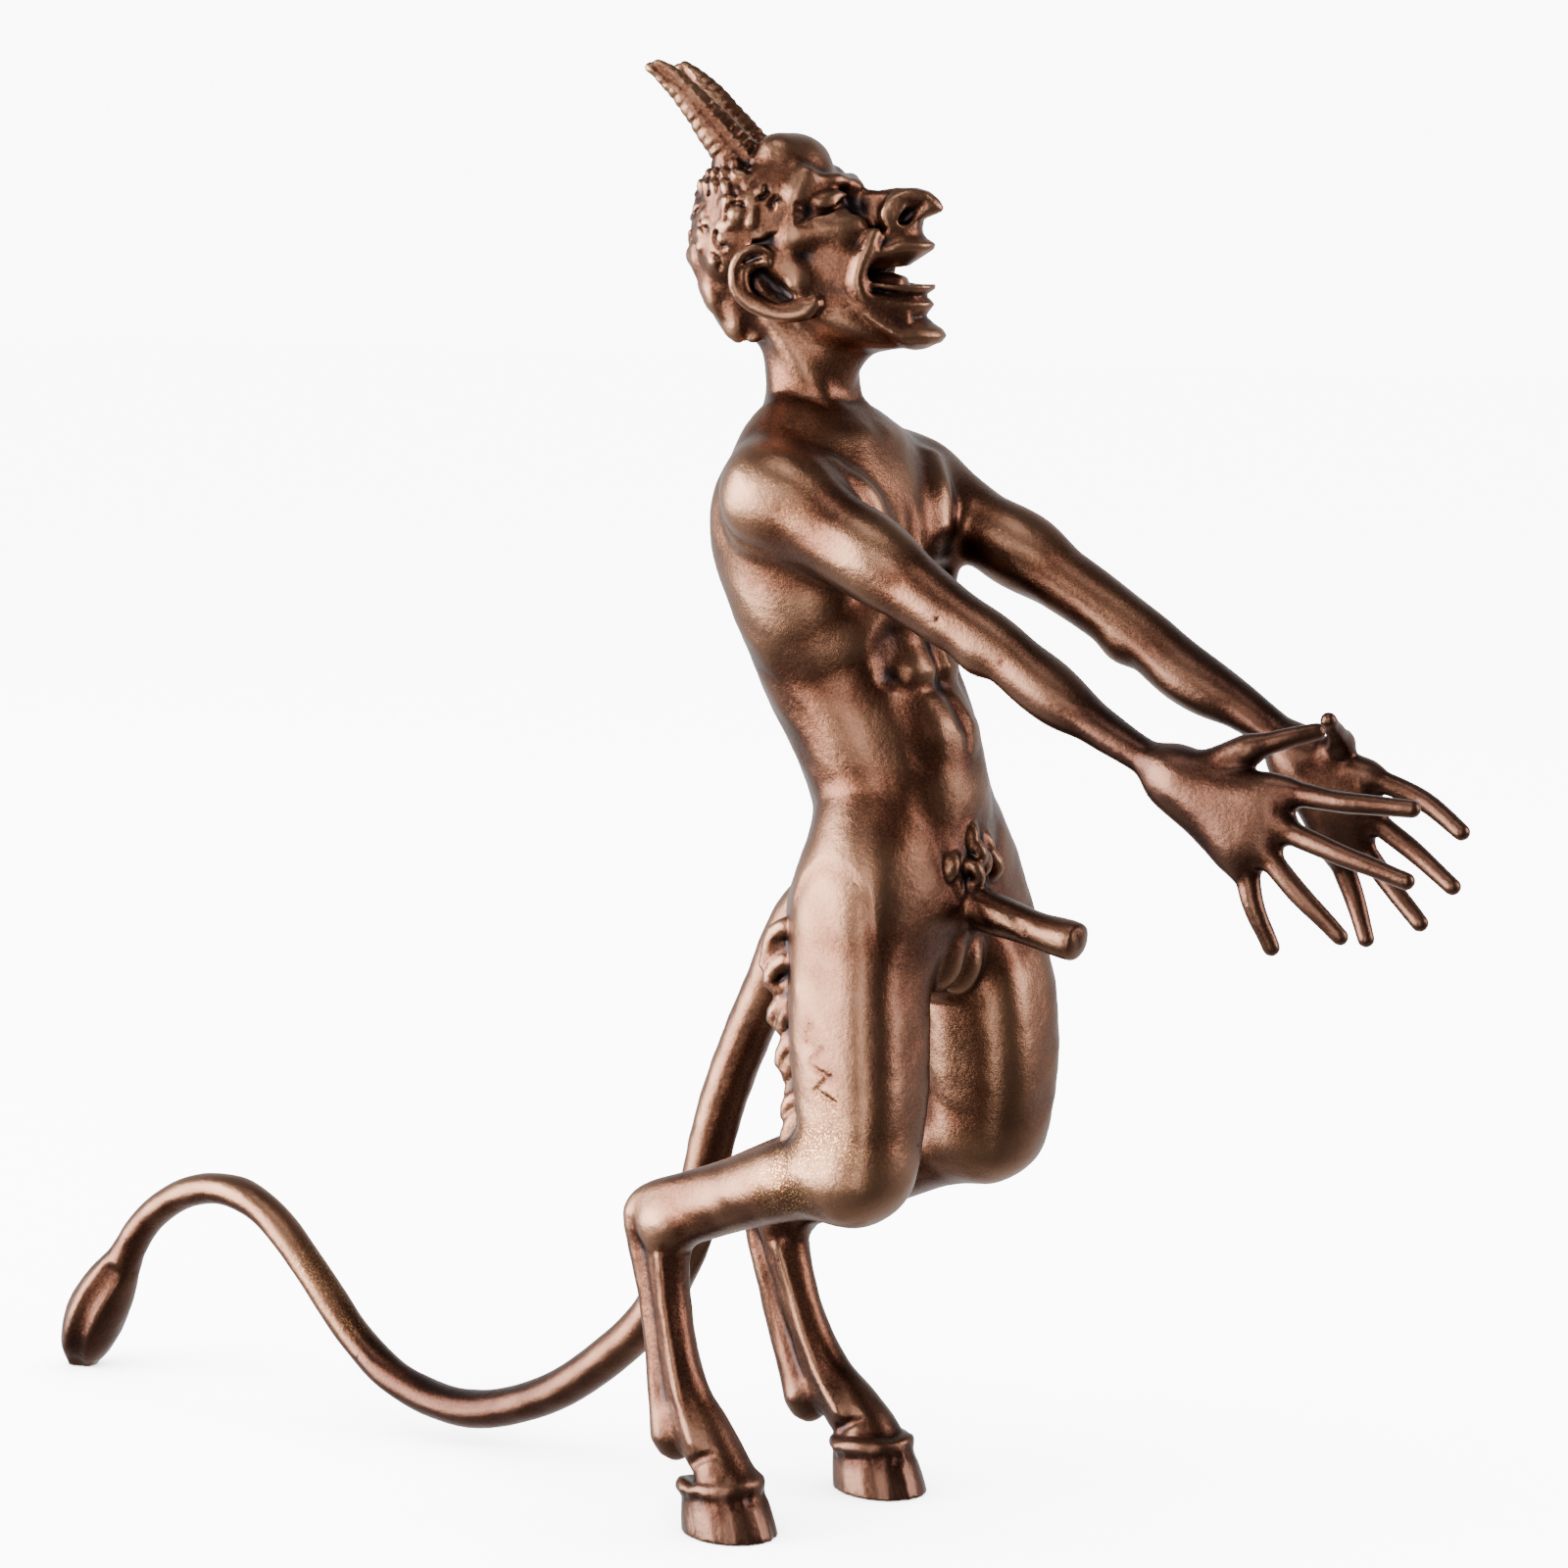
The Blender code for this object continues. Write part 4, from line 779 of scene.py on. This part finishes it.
def model_hair(wax, noise):
    """The cap with its curls, longer locks at the nape and scales under the horns."""
    wax.add(hair_cap(), 0.8)
    model_curls(wax, noise)
    for row, bulge in enumerate((10.4, 9.5, 6.6)):
        for k in range(6):
            share = (k + 0.5 * (row % 2)) / 5 - 0.5
            turn = math.radians(190 * share)
            left, back = math.sin(turn), math.cos(turn)
            if abs(left) > 0.97 and row < 2:
                continue
            z = 208.0 - 4.2 * row
            jog = noise.uniform(-0.8, 0.8, 3)
            s0 = -9.0 - bulge * back
            l0 = bulge * left
            lock = [(s0 + 0.8 * back, l0, z + 2.8, 1.2, 2.4), (s0, l0 + jog[0], z, 1.3, 2.8),
                    (s0 + 1.3 * back, l0 + jog[0] + jog[1], z - 3, 1.1, 2.2),
                    (s0 + 2.8 * back, l0 + 1.6 * jog[1], z - 4.6, 0.7, 1)]
            wax.add(head_tube(lock, wide=(left, back, 0)), 1.2)
    for side in (-1, 1):
        for k in range(4):
            for j in range(4):
                high = math.radians(58 - 9 * k)
                turn = math.radians(103 + 13 * j + 6 * (k % 2))
                out = Vector((math.cos(high) * math.cos(turn), side * math.cos(high) * math.sin(turn),
                              math.sin(high)))
                spot = on_cap(out)
                scale = [(*(spot + Vector((-0.5, 0, 1)) - out * 0.2), 0.9), (*(spot + out * 0.1), 1.1),
                         (*(spot + Vector((0.5, 0, -1.3)) - out * 0.1), 0.7)]
                wax.add(head_tube(scale, steps=2), 0.35)


def model_marks(wax):
    """Casting pits, and generic scratched strokes in a row down the thigh."""
    for spot in ((54.6, -24.6, 146.6), (4.6, -15.8, 133.6), (43, -25, 153), (14.2, -18.6, 154.4)):
        wax.groove(lump(spot, (0.15, 0.15, 0.15)), 0.5, 0.45)
    for k in range(STROKES):
        share = k / (STROKES - 1)
        x = 15.4 + 7.0 * share
        y = -26.6 + 0.2 * share
        z = 91.5 - 16.0 * share
        tilt = 1.3 if k % 2 else -0.7
        stroke = link((x - 1.5, y, z - tilt), (x + 1.5, y, z + tilt), (0.2, 0.8), (0.2, 0.8), Vector(LEFT))
        wax.groove(stroke, 0.5, 0.42)


def mesh_from(wax):
    """Surface nets: one vertex in each voxel cell that the skin passes through."""
    field = wax.field
    inside = field < 0
    count = [n - 1 for n in field.shape]
    corners = [(i, j, k) for i in (0, 1) for j in (0, 1) for k in (0, 1)]
    filled = np.zeros(count, dtype=np.uint8)
    for i, j, k in corners:
        filled += inside[i:i + count[0], j:j + count[1], k:k + count[2]]
    cells = np.argwhere((filled > 0) & (filled < 8))
    number = np.full(count, -1, dtype=np.int32)
    number[tuple(cells.T)] = np.arange(len(cells), dtype=np.int32)
    total = np.zeros((len(cells), 3))
    crossings = np.zeros(len(cells))
    for a in corners:
        for axis in range(3):
            if a[axis]:
                continue
            b = list(a)
            b[axis] = 1
            va = field[cells[:, 0] + a[0], cells[:, 1] + a[1], cells[:, 2] + a[2]]
            vb = field[cells[:, 0] + b[0], cells[:, 1] + b[1], cells[:, 2] + b[2]]
            cross = (va < 0) != (vb < 0)
            share = np.where(cross, va / np.where(va == vb, 1, va - vb), 0)
            for m in range(3):
                total[:, m] += cross * (a[m] + (share if m == axis else 0))
            crossings += cross
    start = np.array([axis[0] for axis in wax.axes])
    points = start + (cells + total / crossings[:, None]) * wax.grain
    quads = []
    for axis in range(3):
        one, two = (axis + 1) % 3, (axis + 2) % 3
        ahead = [slice(None)] * 3
        ahead[axis] = slice(1, None)
        here = [slice(None)] * 3
        here[axis] = slice(0, -1)
        flip = inside[tuple(here)] != inside[tuple(ahead)]
        edges = np.argwhere(flip)
        keep = (edges[:, one] > 0) & (edges[:, two] > 0)
        for m in range(3):
            keep &= edges[:, m] < count[m]
        edges = edges[keep]
        solid = inside[tuple(edges.T)]
        around = []
        for d1, d2 in ((0, 0), (-1, 0), (-1, -1), (0, -1)):
            cell = edges.copy()
            cell[:, one] += d1
            cell[:, two] += d2
            around.append(number[tuple(cell.T)])
        quad = np.stack(around, axis=1)
        quad[~solid] = quad[~solid][:, ::-1]
        quads.append(quad)
    return points, np.concatenate(quads)


def relax(points, quads, rounds, amount, share=1.0):
    """Ease the skin towards its neighbours, a little inwards and back out, so it keeps its volume."""
    edges = np.concatenate([quads[:, [0, 1]], quads[:, [1, 2]], quads[:, [2, 3]], quads[:, [3, 0]]])
    degree = np.bincount(edges.ravel(), minlength=len(points)).astype(float)
    for k in range(rounds):
        step = amount if k % 2 == 0 else -amount * 1.04
        pull = np.zeros_like(points)
        for m in range(3):
            pull[:, m] = (np.bincount(edges[:, 0], points[edges[:, 1], m], len(points))
                          + np.bincount(edges[:, 1], points[edges[:, 0], m], len(points)))
        points = points + step * share * (pull / degree[:, None] - points)
    return points


def bare_skin(points):
    """1 on the smooth skin of trunk, arms and legs, less on head, hands, fur, groin and hooves."""
    x, y, z = points.T
    skin = np.clip((196 - z) / 6, 0, 1)
    skin *= 1 - np.clip((x - 86) / 5, 0, 1)
    skin *= 1 - ((x > -45) & (z < 14))
    skin *= 1 - ((z > 62) & (z < 105) & (x < 13) & (x > -4))
    skin *= 1 - ((x > 25) & (z > 86) & (z < 116) & (np.abs(y) < 8))
    skin *= 1 - ((y < -24) & (z > 70) & (z < 95) & (x < 26))
    return skin[:, None]


def hand_worked(points):
    """The slight unevenness of hand-worked wax, a tenth of a unit or so."""
    x, y, z = points.T
    swell = (0.07 * np.sin(0.61 * x + 0.37 * z + 1.3) * np.sin(0.53 * y - 0.29 * z)
             + 0.03 * np.sin(1.31 * z + 0.7 * x + 2.1) * np.sin(1.13 * y + 0.5 * x))
    low = np.clip((z - 2) / 4, 0, 1)
    return points + np.array([swell, swell * 0.8, swell * 0.6]).T * low[:, None]


def lean(points):
    share = np.clip(points[:, 2] / HIP_HIGH, 0, 1) - 0.5
    moved = points.copy()
    moved[:, 0] -= LEAN * share * LEAN_BACK
    moved[:, 1] += LEAN * share
    return moved


def model_faun():
    noise = np.random.default_rng(SEED)
    wax = Wax((-174, -31, -2.4), (130, 31, 243), GRAIN)
    model_torso(wax)
    model_arms(wax)
    model_leg(wax, THIGH_RIGHT, SHANK_RIGHT, CANNON_RIGHT, TENDON_RIGHT, HOOF_RIGHT_X, -1, noise)
    model_leg(wax, THIGH_LEFT, SHANK_LEFT, CANNON_LEFT, TENDON_LEFT, HOOF_LEFT_X, 1, noise)
    model_tail(wax)
    model_sex(wax)
    model_fur(wax, noise)
    model_skull(wax)
    model_face(wax)
    model_hair(wax, noise)
    for side in (-1, 1):
        model_ear(wax, side)
        model_horn(wax, side)
    model_marks(wax)
    height = wax.grids([(0, len(a)) for a in wax.axes])[2]
    wax.field = np.maximum(wax.field, -height)
    return mesh_from(wax)


def build_mesh():
    points, quads = model_faun()
    flat = points[:, 2] < 0.25
    points = relax(points, quads, ALL_ROUNDS, 0.5)
    points = relax(points, quads, SKIN_ROUNDS, 0.5, bare_skin(points))
    points = hand_worked(points)
    points[flat, 2] = 0.0
    points = lean(points) * UNIT
    low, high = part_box("faun")
    shift = (np.array(low) + np.array(high)) / 2 - (points.min(axis=0) + points.max(axis=0)) / 2
    shift[2] = 0
    points = points + shift
    mesh = bpy.data.meshes.new("faun_bronze")
    mesh.from_pydata(points.tolist(), [], quads.tolist())
    mesh.update()
    rough = bpy.data.objects.new("rough", mesh)
    bpy.context.collection.objects.link(rough)
    thin = rough.modifiers.new("thin", "DECIMATE")
    thin.ratio = min(1.0, TRIANGLES / (2 * len(quads)))
    bpy.context.view_layer.update()
    seen = rough.evaluated_get(bpy.context.evaluated_depsgraph_get())
    fine = bpy.data.meshes.new_from_object(seen)
    bpy.data.objects.remove(rough)
    fine.shade_smooth()
    note_hollows(fine)
    faun = bpy.data.objects.new("faun_bronze", fine)
    bpy.context.collection.objects.link(faun)
    return faun, shift


HOLLOW_ROUNDS = 6               # rounds of smoothing, and how strongly the bend of the skin counts
HOLLOW_GAIN = 9.0


def note_hollows(mesh):
    """Store on each vertex how hollow (1) or raised (0) the skin is there, for the colour: a lighter brown
    on raised spots and painted shade in the hollows.
    """
    count = len(mesh.vertices)
    points, normals = np.empty(count * 3), np.empty(count * 3)
    mesh.vertices.foreach_get("co", points)
    mesh.vertices.foreach_get("normal", normals)
    points, normals = points.reshape(-1, 3), normals.reshape(-1, 3)
    edges = np.empty(len(mesh.edges) * 2, dtype=np.int64)
    mesh.edges.foreach_get("vertices", edges)
    one, two = edges.reshape(-1, 2).T
    degree = np.bincount(edges, minlength=count)

    def spread(values):
        total = np.bincount(one, values[two], count) + np.bincount(two, values[one], count)
        return total / np.maximum(degree, 1)

    middle = np.stack([spread(points[:, m]) for m in range(3)], axis=1)
    bend = np.einsum("ij,ij->i", middle - points, normals) / UNIT
    for _ in range(HOLLOW_ROUNDS):
        bend = 0.4 * bend + 0.6 * spread(bend)
    colours = np.ones((count, 4), dtype=np.float32)
    colours[:, :3] = np.clip(0.5 + bend * HOLLOW_GAIN, 0, 1)[:, None]
    layer = mesh.color_attributes.new("hollow", "FLOAT_COLOR", "POINT")
    layer.data.foreach_set("color", colours.ravel())


# Patina: brown from dark to light with its places on a ramp, and a lighter brown for the raised spots; the
# last colour is painted shade, laid into the hollows and creases
BROWNS = [(0.32, (0.078, 0.027, 0.014)), (0.50, (0.128, 0.049, 0.026)), (0.70, (0.188, 0.082, 0.043))]
RAISED = (0.27, 0.14, 0.082)
PAINTED_HOLLOW_SHADE = (0.014, 0.008, 0.008)
# Spots rubbed to golden metal: where, in metres, and how far they reach
RUBBED = (((0.043, -0.025, 0.067), 0.011), ((0.035, -0.025, 0.061), 0.009), ((-0.083, -0.006, 0.026), 0.009))
GOLD = (0.60, 0.36, 0.13)
# The hands and the hooves are darker: where that starts and where it is full, in metres, and the tint
HANDS_FROM = 0.055
HANDS_FULL = 0.090
HOOVES_TO = 0.034
HOOVES_FULL = 0.006
ENDS_TINT = (0.44, 0.39, 0.41)
# Scales of the noises, in spots per metre
CLOUDS = 30
PATCHES = 34
SHEEN = 60
BROAD_BUMPS = 170
FINE_BUMPS = 1300
SPECKS = 2300
GRAINS = 3100


def bronze():
    material = bpy.data.materials.new("bronze_patina_painted_shade")
    material.use_nodes = True
    nodes, links = material.node_tree.nodes, material.node_tree.links
    shader = nodes["Principled BSDF"]
    shader.inputs["Metallic"].default_value = 1.0
    shader.inputs["Coat Weight"].default_value = 0.15
    shader.inputs["Coat Roughness"].default_value = 0.32
    shader.inputs["Coat IOR"].default_value = 1.5
    place = nodes.new("ShaderNodeTexCoord")

    def noise(scale, detail, roughness=0.5):
        node = nodes.new("ShaderNodeTexNoise")
        node.inputs["Scale"].default_value = scale
        node.inputs["Detail"].default_value = detail
        node.inputs["Roughness"].default_value = roughness
        links.new(place.outputs["Object"], node.inputs["Vector"])
        return node.outputs["Fac"]

    def ramp(value, stops):
        node = nodes.new("ShaderNodeValToRGB")
        while len(node.color_ramp.elements) < len(stops):
            node.color_ramp.elements.new(0.5)
        for element, (at, colour) in zip(node.color_ramp.elements, stops):
            element.position = at
            element.color = (*colour, 1)
        links.new(value, node.inputs["Fac"])
        return node.outputs["Color"]

    def grey(value, low, high, at_low=0.0, at_high=1.0):
        return ramp(value, [(low, (at_low,) * 3), (high, (at_high,) * 3)])

    def mix(share, one, two, kind="MIX"):
        node = nodes.new("ShaderNodeMix")
        node.data_type = "RGBA"
        node.blend_type = kind
        for name, value in (("Factor", share), ("A", one), ("B", two)):
            if isinstance(value, (int, float)):
                node.inputs[name].default_value = value
            elif isinstance(value, tuple):
                node.inputs[name].default_value = (*value, 1)
            else:
                links.new(value, node.inputs[name])
        return node.outputs["Result"]

    hollow = nodes.new("ShaderNodeVertexColor")
    hollow.layer_name = "hollow"
    colour = ramp(noise(CLOUDS, 5, 0.6), BROWNS)
    colour = mix(0.85, colour, grey(noise(SPECKS, 3, 0.75), 0.36, 0.62, 0.45, 1.25), "MULTIPLY")
    patches = grey(noise(PATCHES, 3), 0.62, 0.74)
    grains = grey(noise(GRAINS, 2, 0.6), 0.55, 0.64)
    for spot, reach in RUBBED:
        near = nodes.new("ShaderNodeVectorMath")
        near.operation = "DISTANCE"
        near.inputs[1].default_value = spot
        links.new(place.outputs["Object"], near.inputs[0])
        patches = mix(1.0, patches, grey(near.outputs["Value"], 0.3 * reach, reach, 1.0, 0.0), "ADD")
    colour = mix(mix(1.0, patches, grains, "MULTIPLY"), colour, GOLD)
    colour = mix(grey(hollow.outputs["Color"], 0.18, 0.44, 0.75, 0.0), colour, RAISED)
    axes = nodes.new("ShaderNodeSeparateXYZ")
    links.new(place.outputs["Object"], axes.inputs["Vector"])
    hands = grey(axes.outputs["X"], HANDS_FROM, HANDS_FULL)
    hooves = grey(axes.outputs["Z"], HOOVES_FULL, HOOVES_TO, 1.0, 0.0)
    colour = mix(mix(1.0, hands, hooves, "ADD"), colour, mix(1.0, colour, ENDS_TINT, "MULTIPLY"))
    # Painted shade: hollows and creases darkened nearly to black where the skin bends inwards
    colour = mix(grey(hollow.outputs["Color"], 0.53, 0.80), colour, PAINTED_HOLLOW_SHADE)
    links.new(colour, shader.inputs["Base Color"])
    links.new(grey(noise(SHEEN, 5), 0.3, 0.7, 0.27, 0.39), shader.inputs["Roughness"])
    normal = None
    for height, strength, deep in ((noise(FINE_BUMPS, 5, 0.65), 0.42, 0.0002),
                                   (noise(BROAD_BUMPS, 3), 0.35, 0.0006)):
        bump = nodes.new("ShaderNodeBump")
        bump.inputs["Strength"].default_value = strength
        bump.inputs["Distance"].default_value = deep
        links.new(height, bump.inputs["Height"])
        if normal:
            links.new(normal, bump.inputs["Normal"])
        normal = bump.outputs["Normal"]
    links.new(normal, shader.inputs["Normal"])
    return material


def lay_floor():
    bpy.ops.mesh.primitive_plane_add(size=8, location=(0, 0, -0.0002))
    floor = bpy.context.object
    floor.name = "floor"
    material = bpy.data.materials.new("pale_floor")
    material.use_nodes = True
    shader = material.node_tree.nodes["Principled BSDF"]
    shader.inputs["Base Color"].default_value = (0.98, 0.98, 0.98, 1)
    shader.inputs["Roughness"].default_value = 0.5
    shader.inputs["Specular IOR Level"].default_value = 0.0
    floor.data.materials.append(material)
    floor.visible_glossy = False
    floor.visible_shadow = False
    return floor


def set_world():
    """A white room for the eye and the floor; the bronze mirrors only its dim far side and floor."""
    world = bpy.data.worlds.new("studio")
    bpy.context.scene.world = world
    world.use_nodes = True
    world.cycles.sampling_method = "NONE"
    nodes, links = world.node_tree.nodes, world.node_tree.links
    place = nodes.new("ShaderNodeTexCoord")
    dot = nodes.new("ShaderNodeVectorMath")
    dot.operation = "DOT_PRODUCT"
    dot.inputs[1].default_value = (-0.50, 0.69, -0.52)
    dim = nodes.new("ShaderNodeMapRange")
    dim.inputs["From Min"].default_value = -0.1
    dim.inputs["From Max"].default_value = 0.95
    dim.inputs["To Min"].default_value = 0.20
    dim.inputs["To Max"].default_value = 1.1
    path = nodes.new("ShaderNodeLightPath")
    white = nodes.new("ShaderNodeMix")
    white.inputs["A"].default_value = 10.0
    links.new(place.outputs["Generated"], dot.inputs[0])
    links.new(dot.outputs["Value"], dim.inputs["Value"])
    links.new(path.outputs["Is Glossy Ray"], white.inputs["Factor"])
    links.new(dim.outputs["Result"], white.inputs["B"])
    links.new(white.outputs["Result"], nodes["Background"].inputs["Strength"])
    nodes["Background"].inputs["Color"].default_value = (1, 1, 1, 1)


# Panels: name, degrees from the camera, distance, height, width, tallness, radiance, colour
PANELS = [("wall", -82, 1.2, 0.35, 1.2, 1.1, 21.0, (1, 1, 1)),
          ("strip", -17, 1.1, 0.35, 0.09, 1.2, 24.0, (1, 1, 1)),
          ("front", -2, 1.2, 0.65, 0.5, 0.5, 0.9, (1.0, 0.92, 0.88)),
          ("right", 84, 1.2, 0.50, 0.30, 0.9, 16.0, (1.0, 0.94, 0.97)),
          ("top", -30, 0.35, 1.35, 0.5, 0.4, 5.0, (1, 1, 1))]


def add_panel(name, turn, distance, height, width, tall, radiance, colour):
    """A soft panel round the figure; turn is in degrees from the camera, to its right."""
    angle = math.radians(turn + CAMERA_TURN - 90)
    location = Vector((CENTRE[0] + distance * math.cos(angle), distance * math.sin(angle), height))
    data = bpy.data.lights.new(name, "AREA")
    data.shape = "RECTANGLE"
    data.size = width
    data.size_y = tall
    data.energy = radiance * math.pi * width * tall
    data.color = colour
    light = bpy.data.objects.new(name, data)
    light.location = location
    light.rotation_euler = (Vector(CENTRE) - location).to_track_quat("-Z", "Y").to_euler()
    light.visible_camera = False
    bpy.context.collection.objects.link(light)


def set_camera(shift):
    """The photo's view: a long lens ahead and to the figure's right, a little above its hips."""
    data = bpy.data.cameras.new("camera")
    data.sensor_width = 36
    data.lens = 108
    camera = bpy.data.objects.new("camera", data)
    camera.location = (CAMERA_X + shift[0], CAMERA_Y + shift[1], CAMERA_Z)
    camera.rotation_euler = (math.radians(90 - CAMERA_DOWN), 0, math.radians(CAMERA_TURN))
    bpy.context.collection.objects.link(camera)
    bpy.context.scene.camera = camera


faun, shift = build_mesh()
faun.data.materials.append(bronze())
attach(faun, "root")
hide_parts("faun")
lay_floor()
set_world()
for panel in PANELS:
    add_panel(*panel)
set_camera(shift)
